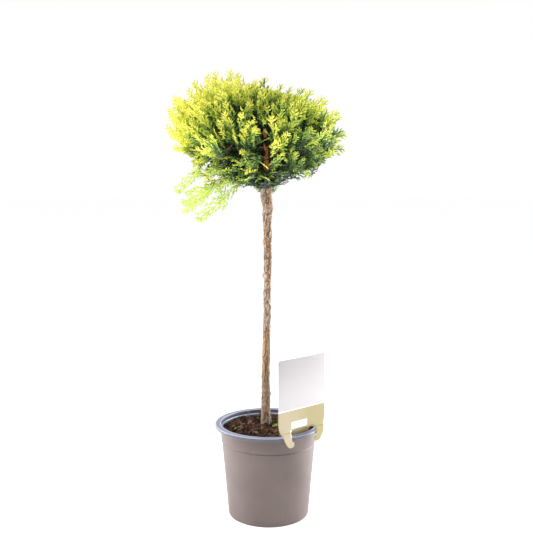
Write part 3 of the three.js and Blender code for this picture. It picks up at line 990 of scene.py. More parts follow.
    def fits(self, spray: Spray, points: Array, radii: Array) -> bool:
        """Whether a spray keeps to its space, apart from its like and clear of the limbs.

        Args:
            spray: the spray.
            points: points along the limbs' axes.
            radii: the limbs' radii there.

        Returns:
            Whether it may stay.
        """
        twig = np.linalg.norm(spray.root - spray.foot)
        straight = float(np.dot(unit(spray.root - spray.foot), spray.aim))
        shortest, longest = self.twig_limits
        most_bent, least_bent = self.twig_bends
        if not shortest <= twig <= longest or not most_bent <= straight <= least_bent:
            return False
        if self.depth(spray.samples, spray.mass).min() < 1:
            return False
        for other in spray.mass.sprays:
            apart = np.linalg.norm(spray.samples[:, None] - other.samples[None], axis=-1)
            if apart.min() < self.spray_gap:
                return False
        clear = np.linalg.norm(spray.samples[:, None] - points[None], axis=-1) - radii
        return bool(clear.min() > 1)


@dataclass
class Wood:
    """The stem with its bark relief, the boughs and the twigs.

    A burr is a height, a share of the turn round the stem, a size and how far it stands out.
    """

    limbs: Limbs
    sides: int = 72
    rings: int = 620
    knots: int = 46
    knot_heights: Pair = (150.0, 452.0)
    mean_radius: float = 5.5
    flare_height: float = 7.0
    least_radius: float = 0.6
    graft: Pair = (439.0, 13.0)
    burrs: tuple[Four, ...] = (
        (433, 0.93, 5.0, 2.4), (446, 0.55, 6.0, 2.2), (441, 0.74, 4.5, 1.6),
        (426, 0.06, 4.0, 1.4), (382, 0.55, 3.4, 1.5), (385, 0.0, 3.4, 1.3),
    )
    bark: Bark = Bark("stem_bark", "6e594b", "b4a092", "a67848", "848868", 0.48, 1.0, 0.472, leader_glow=0.2)
    young_bark: Bark = Bark("young_bark", "4a2c1c", "8c5f40", "a87248", "76603c", 0.5, 0.6)
    bough_points: int = 40
    bough_thinning: float = 0.78
    top_radii: Pair = (2.1, 0.6)

    def grid(self) -> tuple[Array, Array, Array]:
        """The stem's grid: share of the turn round it, share of the way up, and rows' heights."""
        low, top = self.limbs.stations[0][0], self.limbs.stations[-1][0]
        height = np.linspace(low, top, self.rings)
        turn, rise = ring_angles(self.sides) / (2 * math.pi), (height - low) / (top - low)
        return *np.meshgrid(turn, rise), height

    def stem(self) -> None:
        """The stem and leader, as rings carried up the axis.

        A ring's radius is the stem's radius plus relief: the bark, a swelling at the graft, root
        flare in five ribs at the foot, and round knots.
        """
        u, v, height = self.grid()
        angle = ring_angles(self.sides)
        radius = self.limbs.stem_radius(height)[:, None] * np.ones_like(u)
        relief, crack = self.bark_relief(smoothstep(1.5, 5.5, radius))
        graft_at, graft_span = self.graft
        near_graft = np.exp(-(((height - graft_at) / graft_span) ** 2))[:, None]
        relief = relief + 2.8 * (lattice_noise(u, v, (5, 40), 8) - 0.35) * near_graft
        flare = np.exp(-(height - height[0]) / self.flare_height)[:, None]
        relief = relief + 1.3 * flare * (np.sin(5 * angle + 1.0) + 0.5 * np.sin(3 * angle))[None]
        relief = relief + self.knot_relief()
        ring = np.stack([np.cos(angle), np.sin(angle), 0 * angle], axis=-1)
        out = np.maximum(radius + relief, self.least_radius)[:, :, None] * ring
        points = (self.limbs.stem_point(height)[:, None] + out).reshape(-1, 3)
        faces = [grid_faces(self.rings, self.sides, True), *end_caps(self.rings, self.sides)]
        materials = [self.bark.material()]
        piece = put_mesh("stem_bark", points, faces, materials, crack=crack.ravel())
        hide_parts("stem")

    def bark_relief(self, thick: Array) -> tuple[Array, Array]:
        """Tall flakes from stretched noise, between wandering cracks.

        Args:
            thick: how thick the bark is over the grid, from 0 on the leader to 1.

        Returns:
            The relief in millimetres, and how deep in a crack each point lies, from 0 to 1.
        """
        u, v, _ = self.grid()
        flakes = lattice_noise(u, v, (9, 46), 3) - 0.5
        flakes = flakes + 0.6 * (lattice_noise(u, v, (17, 120), 4) - 0.5)
        wave = 0.02 * np.sin(v * 170) + 0.012 * np.sin(v * 391)
        crack = self.seams(lattice_noise(u + wave, v, (9, 36), 5), 0.95)
        fine_crack = self.seams(lattice_noise(u, v, (13, 96), 15), 0.5)
        crack = np.maximum(crack, 0.7 * fine_crack) * thick
        fine = lattice_noise(u, v, (36, 300), 6) - 0.5
        return (0.75 * flakes + 0.3 * fine) * thick - 0.7 * crack, crack

    def seams(self, noise: Array, half_width: float) -> Array:
        """Lines of even width where a noise crosses its middle value.

        The distance to a crossing is the offset from the middle value over the noise's slope.

        Args:
            noise: values from 0 to 1 on the stem's grid.
            half_width: half the width of a line.

        Returns:
            1 on a line and 0 away from it.
        """
        _, _, height = self.grid()
        slope = np.hypot(*np.gradient(noise, height, 2 * math.pi * 5.6 / self.sides))
        away = np.abs(noise - 0.5) / np.maximum(slope, 0.04)
        return smoothstep(half_width, 0.35 * half_width, away)

    def knot_relief(self) -> Array:
        """Round scars over the grid where small shoots were taken off: low rings with a dimple."""
        u, _, height = self.grid()
        low, top = self.knot_heights
        dice = np.random.default_rng(12)
        relief = np.zeros_like(u)
        knots = list(self.burrs)
        for _ in range(self.knots):
            at = low + (top - low) * dice.random()
            knots.append((at, dice.random(), 2.0 + 1.8 * dice.random(), 0.5 + 0.9 * dice.random()))
        for at, turn, size, tall in knots:
            round_by = np.abs((u - turn + 0.5) % 1 - 0.5) * 2 * math.pi * self.mean_radius
            away = np.hypot(round_by, (height[:, None] - at)) / size
            relief += tall * (np.exp(-(away**2)) - 0.55 * np.exp(-((away / 0.4) ** 2)))
        return relief

    def boughs(self, material: Material) -> None:
        """The boughs and the stems of the masses, in one piece, from inside the trunk outwards.

        Args:
            material: the young bark.
        """
        paths, radii = [], []
        share = np.linspace(0, 1, self.bough_points)
        for mass in self.limbs.masses:
            limb = mass.stem_at(np.linspace(0, 0.92, 16))
            radius = np.linspace(*self.top_radii, self.bough_points)
            if mass.bough is not None:
                limb = np.concatenate([mass.bough, limb])
                radius = mass.tier.bough * (1 - self.bough_thinning * share**0.9)
            paths.append(evenly_along(limb, share))
            radii.append(radius)
        u, v = np.meshgrid(np.linspace(0, 1, len(paths)), share, indexing="ij")
        wave = 0.9 + 0.25 * lattice_noise(u, v, (len(paths), 14), 31)
        points, faces = tubes(np.array(paths), np.array(radii) * wave, 12)
        piece = put_mesh("boughs", points, faces, [material])
        nodes = [f"bough_{mass.name}" for mass in self.limbs.masses if mass.tier.bough]
        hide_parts(*nodes)

    def twigs(self, paths: Array, radii: Array, material: Material) -> None:
        """The fine woody twigs that carry the sprays, in one piece."""
        points, faces = tubes(paths, radii, 5)
        piece = put_mesh("twigs", points, faces, [material])


# Foliage


@dataclass(frozen=True)
class Shoots:
    """The side shoots of one plume: paths, headings, shares along the plume, and lengths."""

    path: Array
    heading: Array
    share: Array
    long: Array


@dataclass(frozen=True)
class PlumeShape:
    """One flat feathery plume, in its own frame: X along it, Y across, Z off its face.

    It is drawn in slim eight-faced slivers. Each method that draws some gives their corners
    (K by 6 by 3), the share along the plume of each, and the number of the shoot it belongs to.
    """

    length: float = 58.0
    shoots: int = 10
    first_share: float = 0.05
    last_share: float = 0.82
    spread: float = 0.38
    shoot_angle: float = 0.62
    finger_angle: float = 0.4
    finger_length: float = 9.4
    finger_gap: float = 4.0
    half_width: float = 1.26
    variants: int = 12
    axis_links: int = 7
    shoot_links: int = 3
    most_fingers: int = 6

    def variant(self, seed: int) -> Arrays:
        """One plume: side shoots leave the axis in turn, curve forwards and carry fingers.

        Args:
            seed: start of its random changes.

        Returns:
            Its slivers.
        """
        dice = np.random.default_rng(seed)
        number = np.arange(self.shoots)
        span = self.last_share - self.first_share
        share = span * (number + 0.4 * dice.random(self.shoots)) / self.shoots
        share = self.first_share + share
        width = np.minimum(1, (share + 0.2) / 0.42) * (1 - share) ** 0.6
        long = self.length * self.spread * width * (0.8 + 0.4 * dice.random(self.shoots))
        sway = self.length * (0.16 * dice.random() - 0.08)
        t = (np.arange(self.shoot_links) + 0.5) / self.shoot_links
        angle = self.shoot_angle + 0.24 * (dice.random(self.shoots) - 0.5)
        angle = angle[:, None] * (1 - 0.5 * t)
        off_face = (0.4 * (dice.random(self.shoots) - 0.5))[:, None] + 0 * t
        side = np.where(number % 2, 1.0, -1.0)[:, None]
        heading = unit(np.stack([np.cos(angle), side * np.sin(angle), off_face], axis=-1))
        stride = heading * (long[:, None, None] / self.shoot_links)
        base = self.axis_points(share, sway)[:, None]
        path = np.concatenate([base, base + np.cumsum(stride, axis=1)], axis=1)
        shoots = Shoots(path, heading, share, long)
        parts = [self.axis(sway), self.chains(shoots), self.fingers(shoots, dice)]
        parts.append(self.tip_fingers(sway, dice))
        return tuple(np.concatenate(column) for column in zip(*parts))

    def axis_points(self, share: Array, sway: float) -> Array:
        """Points of the plume's axis, which sways to one side."""
        return np.stack([share * self.length, sway * share**2, 0 * share], axis=-1)

    def slivers(self, base: Array, tip: Array, waist: float) -> Array:
        """Slivers from base to tip: four corners round the waist between two points.

        Args:
            base: first points, K by 3.
            tip: last points, K by 3.
            waist: where the widest place is, as a share of the length.

        Returns:
            Corners, K by 6 by 3, as base, tip, left, upper, right and lower.
        """
        along = unit(tip - base)
        across = unit(np.cross(UP, along))
        middle = base + waist * (tip - base)
        wide = self.half_width * across
        thick = 0.5 * self.half_width * np.cross(along, across)
        corners = [base, tip, middle + wide, middle + thick, middle - wide, middle - thick]
        return np.stack(corners, axis=1)

    def links(self, path: Array, overlap: float, waist: float) -> Array:
        """Slivers along paths, each of which overlaps the next."""
        step = path[..., 1:, :] - path[..., :-1, :]
        first = path[..., :-1, :] - overlap * step
        last = path[..., 1:, :] + 0.35 * step
        return self.slivers(first.reshape(-1, 3), last.reshape(-1, 3), waist)

    def axis(self, sway: float) -> Arrays:
        """The plume's own axis."""
        edges = np.linspace(0, 1, self.axis_links + 1)
        corners = self.links(self.axis_points(edges, sway), 0.3, 0.5)
        return corners, (edges[:-1] + edges[1:]) / 2, np.full(self.axis_links, self.shoots)

    def chains(self, shoots: Shoots) -> Arrays:
        """The side shoots."""
        along = (np.arange(self.shoot_links) + 0.5) / self.shoot_links
        reach = shoots.share[:, None] + 0.7 * shoots.long[:, None] / self.length * along
        owners = np.repeat(np.arange(self.shoots), self.shoot_links)
        return self.links(shoots.path, 0.25, 0.55), reach.ravel(), owners

    def fingers(self, shoots: Shoots, dice: Dice) -> Arrays:
        """Short fingers on both sides of every side shoot, in turn, as many as its length holds."""
        rows = np.arange(self.shoots)[:, None]
        number = np.arange(self.most_fingers)
        spacing = 0.9 + 0.2 * dice.random((self.shoots, self.most_fingers))
        along = self.finger_gap * (number + 0.75)[None] * spacing
        there = along < 0.9 * shoots.long[:, None]
        at = np.minimum(along / shoots.long[:, None], 0.98)
        cell = np.minimum((at * self.shoot_links).astype(int), self.shoot_links - 1)
        part = (at * self.shoot_links - cell)[..., None]
        base = shoots.path[rows, cell] * (1 - part) + shoots.path[rows, cell + 1] * part
        forward = shoots.heading[rows, cell]
        side = np.where(number % 2, 1.0, -1.0)[None]
        turn = side * (self.finger_angle + 0.35 * (dice.random(at.shape) - 0.5))
        aim = turned_about(forward, np.broadcast_to(UP, forward.shape), turn)
        aim = unit(aim + (0.45 * (dice.random(at.shape) - 0.5))[..., None] * UP)
        size = self.finger_length * (1.1 - 0.5 * at) * (0.75 + 0.5 * dice.random(at.shape))
        tip = base + size[..., None] * aim
        reach = shoots.share[:, None] + 0.7 * along / self.length + 0.05
        owners = np.broadcast_to(rows, there.shape)
        return self.slivers(base[there], tip[there], 0.42), reach[there], owners[there]

    def tip_fingers(self, sway: float, dice: Dice) -> Arrays:
        """Fingers straight on the axis, near its tip."""
        share = np.linspace(self.last_share + 0.03, 0.98, 4)
        base = self.axis_points(share, sway)
        turn = np.array([1.0, -1.0, 1.0, -1.0]) * (0.7 + 0.2 * (dice.random(4) - 0.5))
        off_face = 0.3 * (dice.random(4) - 0.5)
        aim = unit(np.stack([np.cos(turn), np.sin(turn), off_face], axis=-1))
        size = self.finger_length * np.array([1.1, 1.0, 0.8, 0.65])
        corners = self.slivers(base, base + size[:, None] * aim, 0.42)
        return corners, share, np.full(4, self.shoots + 1)


@dataclass
class Plumes:
    """Where plumes stand, as lists with one entry for each plume."""

    root: list[Array] = field(default_factory=list)
    aim: list[Array] = field(default_factory=list)
    face: list[Array] = field(default_factory=list)
    length: list[float] = field(default_factory=list)
    curl: list[float] = field(default_factory=list)
    drooping: list[bool] = field(default_factory=list)
    bonus: list[float] = field(default_factory=list)

    def add(
        self, root: Array, aim: Array, face: Array, length: float, curl: float,
        drooping: bool = False, bonus: float = 0.0,
    ) -> None:
        """Add one plume, with its face made square to its aim.

        Args:
            root: where it leaves its twig.
            aim: its direction.
            face: the direction its flat side looks in, about.
            length: its length.
            curl: how far it bends towards its face, in radians.
            drooping: whether it belongs to the drooping lobe.
            bonus: what is added to its share of sun.
        """
        aim = unit(aim)
        self.root.append(root)
        self.aim.append(aim)
        self.face.append(unit(face - np.dot(face, aim) * aim))
        self.length.append(length)
        self.curl.append(curl)
        self.drooping.append(drooping)
        self.bonus.append(bonus)


@dataclass(frozen=True)
class Slivers:
    """The slivers of many plumes in place, as arrays with one row for each sliver.

    A row has its corners (6 by 3), its share along the plume, the centre of its shoot, whether
    it droops, its bonus of sun and the number of its shoot.
    """

    corners: Array
    share: Array
    centre: Array
    drooping: Array
    bonus: Array
    shoot: Array


@dataclass(frozen=True)
class Sun:
    """How much each thing counts in a shoot's share of sun.

    The share picks the shoot's colour, partly as the real gold of sunlit growth and partly as
    painted light and shade.
    """

    depth: float = 1.6
    middle_depth: float = 0.695
    height: float = 0.32
    # Painted light: how much lighter the left side is, where the light falls from.
    left: float = 0.21
    along: float = 0.88
    middle_along: float = 0.455
    chance_by_shoot: float = 0.05
    chance_by_plume: float = 0.12
    # Painted light: how much lighter the leaves round the window on the leader are.
    window_painted_light: float = 0.12


@dataclass
class Foliage:
    """The head's foliage: plumes that fan out from every spray of the rule, dealt by colour.

    A row of the skirt is where it starts and how far it reaches from the stem, the height it
    leaves the stem at, and its rise. The window is the gap that shows the stem at the fork.
    """

    limbs: Limbs
    shape: PlumeShape = PlumeShape()
    trailing: PlumeShape = PlumeShape(
        length=64, shoots=8, first_share=0.04, last_share=0.84, spread=0.5, shoot_angle=0.6,
        finger_angle=0.5, finger_length=10.5, finger_gap=6.2, half_width=1.5, variants=6,
    )
    sun: Sun = Sun()
    first_seed: int = 500
    outer_reach: float = 1.04
    rest_reach: float = 0.94
    below_crest: float = 10.0
    side_reach: float = 103.0
    trail_centre: Triple = (-92.0, -12.0, 446.0)
    trail_reach: Triple = (40.0, 26.0, 40.0)
    crest_x: Row = (-130, -100, -75, -45, -20, 5, 33, 60, 100)
    crest_z: Row = (574, 592, 610, 610, 601, 594, 590, 580, 560)
    underside_x: Row = (-130, -100, -60, -30, 0, 30, 60, 80, 100)
    underside_z: Row = (400, 412, 425, 455, 466, 471, 483, 500, 524)
    window_x: Pair = (-11.0, 3.0)
    window_z: Pair = (476, 538)
    window_front: float = 5.0
    fork: Triple = (-3.0, 10.0, 452.0)
    thresholds: tuple[tuple[float, LeafTone], ...] = (
        (0.74, LeafTone.LEMON), (0.58, LeafTone.GOLD), (0.42, LeafTone.LIME),
        (0.24, LeafTone.LEAF), (0.06, LeafTone.DEEP), (-9.0, LeafTone.SHADE),
    )
    droop_thresholds: tuple[tuple[float, LeafTone], ...] = (
        (0.3, LeafTone.FRESH), (0.06, LeafTone.LIME), (-9.0, LeafTone.LEAF),
    )
    leaders: int = 26
    leader_turns: Pair = (-0.16, 3.5)
    leader_length: float = 56.0
    right_lift: float = 0.14
    fills: tuple[Pair, ...] = ((0.94, -0.8), (0.68, -0.9), (0.4, -0.6), (0.86, -0.3))
    fill_tries: int = 560
    fill_gap: float = 14.0
    skirt_rows: tuple[Four, ...] = ((6, 16, 453.0, 0.3), (30, 32, 468.0, 0.06))
    least_length: float = 12.0
    most_triangles: int = 190000
    dice: Dice = field(default_factory=lambda: np.random.default_rng(41))
    plumes: Plumes = field(default_factory=Plumes)
    twig_paths: list[Array] = field(default_factory=list)
    twig_radii: list[Array] = field(default_factory=list)

    def head_share(self, points: Array) -> Array:
        """How far out points lie in the head, whose right side is lifted a little."""
        lift = self.right_lift * np.maximum(points[..., 0], 0)
        return self.limbs.head.depth_share(points - lift[..., None] * UP)

    def room(self, tips: Array) -> Array:
        """Whether tips keep to the head's reach, below its crest and above its underside.

        The crest is highest left of the middle, and the underside falls to the left.

        Args:
            tips: points, any shape with a last axis of 3.

        Returns:
            One truth value for each point.
        """
        x, y, z = tips[..., 0], tips[..., 1], tips[..., 2]
        inside = self.head_share(tips) <= self.rest_reach
        inside |= self.limbs.droop.depth_share(tips) <= self.outer_reach
        trail = (tips - np.array(self.trail_centre)) / np.array(self.trail_reach)
        inside |= np.linalg.norm(trail, axis=-1) <= 1
        inside &= np.abs(y - self.limbs.head.centre[1]) < self.side_reach
        inside &= z < np.interp(x, self.crest_x, self.crest_z) - self.below_crest
        return inside & (z > np.interp(x, self.underside_x, self.underside_z))

    def shortened(self, root: Array, aim: Array, length: float) -> float:
        """A plume's length, cut so that its tip has room."""
        tries = length * np.array([1, 0.9, 0.8, 0.7, 0.6, 0.5, 0.4])
        inside = np.flatnonzero(self.room(root + tries[:, None] * unit(aim)))
        return float(tries[inside[0]]) if len(inside) else 0.0

    def plan(self) -> None:
        """Fan plumes out from every spray and its twig, then fill thin places and the outline."""
        for mass in self.limbs.masses:
            for number, spray in enumerate(mass.sprays):
                if mass.drooping:
                    self.hang(spray, number)
                else:
                    self.fan(spray)
        for depth, lowest in self.fills:
            self.fill(depth, lowest)
        self.skirt()
        self.lead()
        for mass in self.limbs.masses:
            self.sprigs(mass)
        self.leader_sprigs()
        LOG.info("plumes planted: %d, %d drooping", len(self.plumes.root), sum(self.plumes.drooping))

    def twig(
        self, foot: Array, root: Array, aim: Array, lift: float = 7.0, share: float = 0.5,
        past: float = 2.0, radius: float = 0.9,
    ) -> None:
        """Lead one twig from its foot on a limb to a plume's root, and on along its aim.

        Args:
            foot, root, aim: as in Plumes.add, with the place on the limb first.
            lift: how far its bend is raised.
            share: the share of the way at which it bends.
            past: how far it runs on into the plume.
            radius: its radius at the foot.
        """
        bend = foot + share * (root - foot) + lift * UP
        self.twig_paths.append(bezier(foot, bend, root + past * aim, np.linspace(0, 1, 7)))
        self.twig_radii.append(np.linspace(radius, 0.5 * radius, 7))

    def plant(
        self, root: Array, aim: Array, face: Array, length: float, curl: float,
        drooping: bool = False,
    ) -> None:
        """Add one plume if there is room for it within the head's reach.

        One that points forwards or back is turned to follow the fork's flow, upwards and out, so
        that it overlaps its neighbours like a shingle, with its flat side outwards. Drooping ones
        keep their direction.

        Args:
            root, aim, face, length, curl, drooping: as in Plumes.add, before its length is cut.
        """
        if not drooping:
            rise = root - np.array(self.fork)
            outward = unit(rise * np.array([1.0, 1.0, 0.0]) + np.array([0, 1e-6, 0]))
            if rise[1] < -12 and len(self.plumes.root) % 5 < 3:
                outward = np.array([0, -1.0, 0])
            ahead = float(np.dot(unit(aim), outward))
            flow = unit(rise - np.dot(rise, outward) * outward + UP)
            aim = unit(unit(aim) - 0.5 * ahead * abs(ahead) * outward + 0.6 * abs(ahead) * flow)
            outward = outward + 0.25 * UP
            face = unit(unit(face) * (1 if np.dot(face, outward) > 0 else -1) + 0.75 * outward)
        kept = self.shortened(root, aim, length)
        if kept > self.least_length:
            self.plumes.add(root, aim, face, kept, curl, drooping)

    def fan(self, spray: Spray) -> None:
        """One spray's plumes: a broad flat fan, and loose ones along its twig."""
        dice = self.dice
        twig = spray.root - spray.foot
        self.twig(spray.foot, spray.root, spray.aim, 6, 0.55, 3)
        curl = 0.7 * (dice.random() - 0.35)
        face = turned_about(spray.face, spray.aim, 0.7 * (dice.random() - 0.5))
        self.plant(spray.root - 2 * spray.aim, spray.aim, face, 1.12 * spray.length, curl)
        for set_back, side in itertools.product((0.0, 0.4), (-1, 1)):
            turn = side * (0.5 + 0.2 * dice.random() + 0.6 * set_back)
            aim = unit(turned_about(spray.aim, face, turn) + 0.2 * (dice.random(3) - 0.5))
            tilted = unit(face + 0.4 * (dice.random(3) - 0.5))
            size = spray.length * (0.84 + 0.2 * dice.random() - 0.3 * set_back)
            self.plant(spray.root - set_back * twig, aim, tilted, size, curl)
        for share in (0.15, 0.4, 0.65):
            if np.linalg.norm(twig) * share < 3:
                continue
            loose = unit(dice.normal(size=3))
            aim = unit(0.7 * unit(twig) + 0.75 * loose + 0.25 * UP)
            face = unit(np.cross(aim, dice.normal(size=3)))
            self.plant(spray.foot + share * twig, aim, face, 32 + 18 * dice.random(), curl)

    def hang(self, spray: Spray, number: int) -> None:
        """One drooping spray: an open fan that trails down to the left, its flat side in front.

        Every third spray stays a bare twig, so the droop is open.
        """
        self.twig(spray.foot, spray.root, spray.aim, 5, 0.55, 3, 0.75)
        aim = unit(spray.aim * np.array([1.0, 0.35, 1.0]) + np.array([-0.5, 0, -0.42]))
        face = unit(np.array([0, -1.0, 0.25]) + 0.25 * self.dice.normal(size=3))
        if number % 3 < 2:
            self.plant(spray.root - 2 * aim, aim, face, 1.3 * spray.length, 0.15, True)

    def limb_points(self, mass: Mass) -> Array:
        """Points along a mass's stem and the outer part of its bough."""
        points = mass.stem_at(np.linspace(0.05, 1, 20))
        if mass.bough is None:
            return points
        return np.concatenate([mass.bough[6:], points])

    def fill(self, depth: float, lowest: float) -> None:
        """Lead more plumes to thin places at one depth of the head, from the nearest limb.

        Args:
            depth: share of the head's reach at which places are tried.
            lowest: the lowest direction tried, from -1 to 1.
        """
        lobe, dice = self.limbs.head, self.dice
        reach, centre = np.array(lobe.reach), np.array(lobe.centre)
        heads = [mass for mass in self.limbs.masses if not mass.drooping]
        for index in range(self.fill_tries):
            up = 1 - (1 - lowest) * (index + 0.5) / self.fill_tries
            out = spiral_way(up, index * GOLDEN_TURN + 0.7)
            tip = out * reach * depth
            tip = tip + centre + lobe.lean * tip[0] * UP
            tip = tip + self.right_lift * max(tip[0], 0) * UP
            roots = np.array(self.plumes.root)
            spans = np.array(self.plumes.aim) * np.array(self.plumes.length)[:, None]
            gaps = [np.linalg.norm(roots + share * spans - tip, axis=1) for share in (0.7, 0.95)]
            if np.min(gaps) < self.fill_gap:
                continue
            owner = min(heads, key=lambda mass: float(np.linalg.norm(tip - mass.heart)))
            start = tip - 46 * max(depth, 0.6) * unit(out / reach) - 10 * UP
            foot = nearest(self.limb_points(owner), start)
            root = foot + 0.75 * (start - foot)
            aim = unit(tip - root)
            if np.linalg.norm(root - foot) > 5:
                self.twig(foot, root, aim)
            face = unit(np.cross(aim, dice.normal(size=3)))
            self.plant(root, aim, face, float(np.linalg.norm(tip - root)), 0.2)
            for side in (-1, 1):
                turned = turned_about(aim, face, side * (0.5 + 0.2 * dice.random()))
                self.plant(root, turned, face, 34 + 10 * dice.random(), 0.2)

    def skirt(self) -> None:
        """Flat sprays that reach forwards from the fork and close the head's underside there."""
        dice = self.dice
        for number, turn in enumerate(np.linspace(-0.95, 0.95, 9)):
            for near, far, level, rise in self.skirt_rows:
                rise = rise + 0.09 * (number % 3) + (0.12 + 0.12 * (turn > 0)) * math.sin(turn) ** 2
                out = np.array([math.sin(turn), -math.cos(turn), rise])
                foot = self.limbs.stem_point(level)
                root = foot + near * out
                if near > 20:
                    self.twig(foot, root, out, 1)
                for side in (-0.42, 0.0, 0.42):
                    aim = turned_about(out, UP, side + 0.2 * (dice.random() - 0.5))
                    face = unit(UP + 0.3 * dice.normal(size=3))
                    size = far + 16 + 8 * dice.random()
                    # Their lower share of sun gives the underside darker tones: partly its own greener
                    # growth, partly painted shade.
                    self.plumes.add(root, aim, face, size, -0.1, bonus=-0.2)

    def lead(self) -> None:
        """Longer leading sprays that stand out round the head and give it its pointed outline."""
        dice, head = self.dice, self.limbs.head
        limbs = np.concatenate([self.limb_points(mass) for mass in self.limbs.masses])
        centre, reach = np.array(head.centre), np.array(head.reach)
        for number, turn in enumerate(np.linspace(*self.leader_turns, self.leaders)):
            out = np.array([math.cos(turn), 0.08 * (-1) ** number, math.sin(turn)])
            tip = centre + (0.97 + 0.04 * dice.random()) * out * reach
            tip = tip + (head.lean * (tip[0] - centre[0]) + self.right_lift * max(tip[0], 0)) * UP
            crest = np.interp(tip[0], self.crest_x, self.crest_z)
            tip[2] = min(tip[2], crest - 4 + 6 * dice.random())
            aim = unit(unit(tip - centre + 20 * UP) + 0.3 * UP * (tip[2] > 530))
            foot = nearest(limbs, tip - (self.leader_length + 6) * aim)
            root = tip - self.leader_length * aim
            self.twig(foot, root, aim)
            face = unit(np.array([0, -1.0, 0]) + 0.35 * dice.normal(size=3))
            self.plumes.add(root, aim, face, self.leader_length + 2, 0.1, bonus=0.2)
            for side in (-1, 1):
                turned = turned_about(aim, face, side * (0.42 + 0.2 * dice.random()))
                self.plumes.add(root, turned, face, 36 + 6 * dice.random(), 0.1, bonus=0.15)

    def sprigs(self, mass: Mass) -> None:
        """Short sprigs straight on a bough, and longer sprays along a low one."""
        if mass.bough is None:
            return
        dice, hanging = self.dice, mass.drooping
        if mass.tier.name != "upper":
            self.low_sprays(mass)
        for share in np.linspace(0.1, 0.92, 11 if hanging else 8):
            at = evenly_along(mass.bough, [share, min(share + 0.05, 1)])
            along = unit(at[1] - at[0])
            for _ in range(2):
                side = unit(np.cross(along, dice.normal(size=3)) + 0.4 * UP * hanging)
                aim = unit((0.9 + 0.5 * hanging) * along + 0.9 * side)
                size = 16 + 14 * dice.random() + 10 * hanging
                face = np.cross(aim, dice.normal(size=3)) + 0.6 * UP
                self.plumes.add(at[0] + 1.2 * side, aim, face, size, 0.3, bonus=0.16)

    def low_sprays(self, mass: Mass) -> None:
        """Longer flat sprays that lie along the lower half of a bough and hide it."""
        dice = self.dice
        for share in (0.06, 0.2, 0.36, 0.55):
            at = evenly_along(mass.bough, [share, share + 0.05])
            along = unit(at[1] - at[0])
            beside = unit(np.cross(along, UP)) * (1 if dice.random() < 0.5 else -1)
            for side in (beside, -beside):
                aim = unit(along + 0.35 * side + 0.1 * UP)
                face = unit(UP + 0.9 * side + 0.3 * dice.normal(size=3))
                size = 30 + 14 * dice.random()
                self.plumes.add(at[0] + 2 * side, aim, face, size, -0.2, bonus=0.12)

    def leader_sprigs(self) -> None:
        """Short sprigs on the sides and the back of the leader."""
        dice = self.dice
        for height, turn in itertools.product(np.linspace(447, 546, 21), (0.05, 0.33, 0.5, 0.67, 0.95)):
            side = level_way(math.pi * (turn + 0.16 * (dice.random() - 0.5)))
            aim = unit(side + (0.5 + 0.5 * dice.random()) * UP)
            size = (0.55 if height < 474 else 1.0) * (24 + 14 * dice.random())
            root = self.limbs.stem_point(height) + 2 * side
            face = unit(np.cross(aim, dice.normal(size=3)))
            self.plumes.add(root, aim, face, size, 0.4, bonus=0.15 if height < 480 else 0.05)

    def grown(self) -> Slivers:
        """All slivers of all plumes, set in place.

        Plumes stand in many drawings of the shape, and drooping ones in drawings of the
        trailing shape.
        """
        drooping = np.array(self.plumes.drooping)
        kind = np.arange(len(drooping)) % self.shape.variants
        kind[drooping] = self.shape.variants + kind[drooping] % self.trailing.variants
        shapes = [self.shape] * self.shape.variants + [self.trailing] * self.trailing.variants
        results = []
        for number, shape in enumerate(shapes):
            mine = np.flatnonzero(kind == number)
            if len(mine):
                results.append(self.placed(shape, number, mine))
        return Slivers(*(np.concatenate(column) for column in zip(*results)))

    def placed(self, shape: PlumeShape, number: int, mine: Array) -> Arrays:
        """The slivers of the plumes that share one drawing of a shape.

        A plume is bent by its curl: a place at distance x along it turns by the curl times its
        share of the length, as on an arc. Then it is carried into its own frame.

        Args:
            shape: the shape.
            number: the number of the drawing.
            mine: the numbers of the plumes.

        Returns:
            The columns of Slivers, in their order.
        """
        corners, share, owner = shape.variant(self.first_seed + number)
        plumes, rows = self.plumes, mine[:, None, None]
        root, aim, face = (np.array(part)[rows] for part in (plumes.root, plumes.aim, plumes.face))
        full = np.array(plumes.length)[rows]
        curl = np.array(plumes.curl)[rows]
        curl = np.where(np.abs(curl) < 0.02, 0.02, curl)
        local = corners[None] * (full / shape.length)[..., None]
        turn = curl * local[..., 0] / full
        radius = full / curl
        x = radius * np.sin(turn) - local[..., 2] * np.sin(turn)
        z = radius * (1 - np.cos(turn)) + local[..., 2] * np.cos(turn)
        points = root + x[..., None] * aim
        points = points + local[..., 1:2] * np.cross(face, aim) + z[..., None] * face
        sums = np.zeros((len(mine), owner.max() + 1, 3))
        np.add.at(sums, (slice(None), owner), points.mean(axis=2))
        centre = (sums / np.bincount(owner)[None, :, None])[:, owner]
        first = (np.arange(len(mine)) * 100 + number) * 64
        return (
            points.reshape(-1, 6, 3),
            np.tile(share, len(mine)),
            centre.reshape(-1, 3),
            np.repeat(np.array(plumes.drooping)[mine], len(share)),
            np.repeat(np.array(plumes.bonus)[mine], len(share)),
            (first[:, None] + owner).ravel(),
        )

    @staticmethod
    def chance(numbers: Array, seed: int) -> Array:
        """One normal random value for each number, the same wherever the number comes back."""
        kinds, place = np.unique(numbers, return_inverse=True)
        return np.random.default_rng(seed).normal(size=len(kinds))[place]

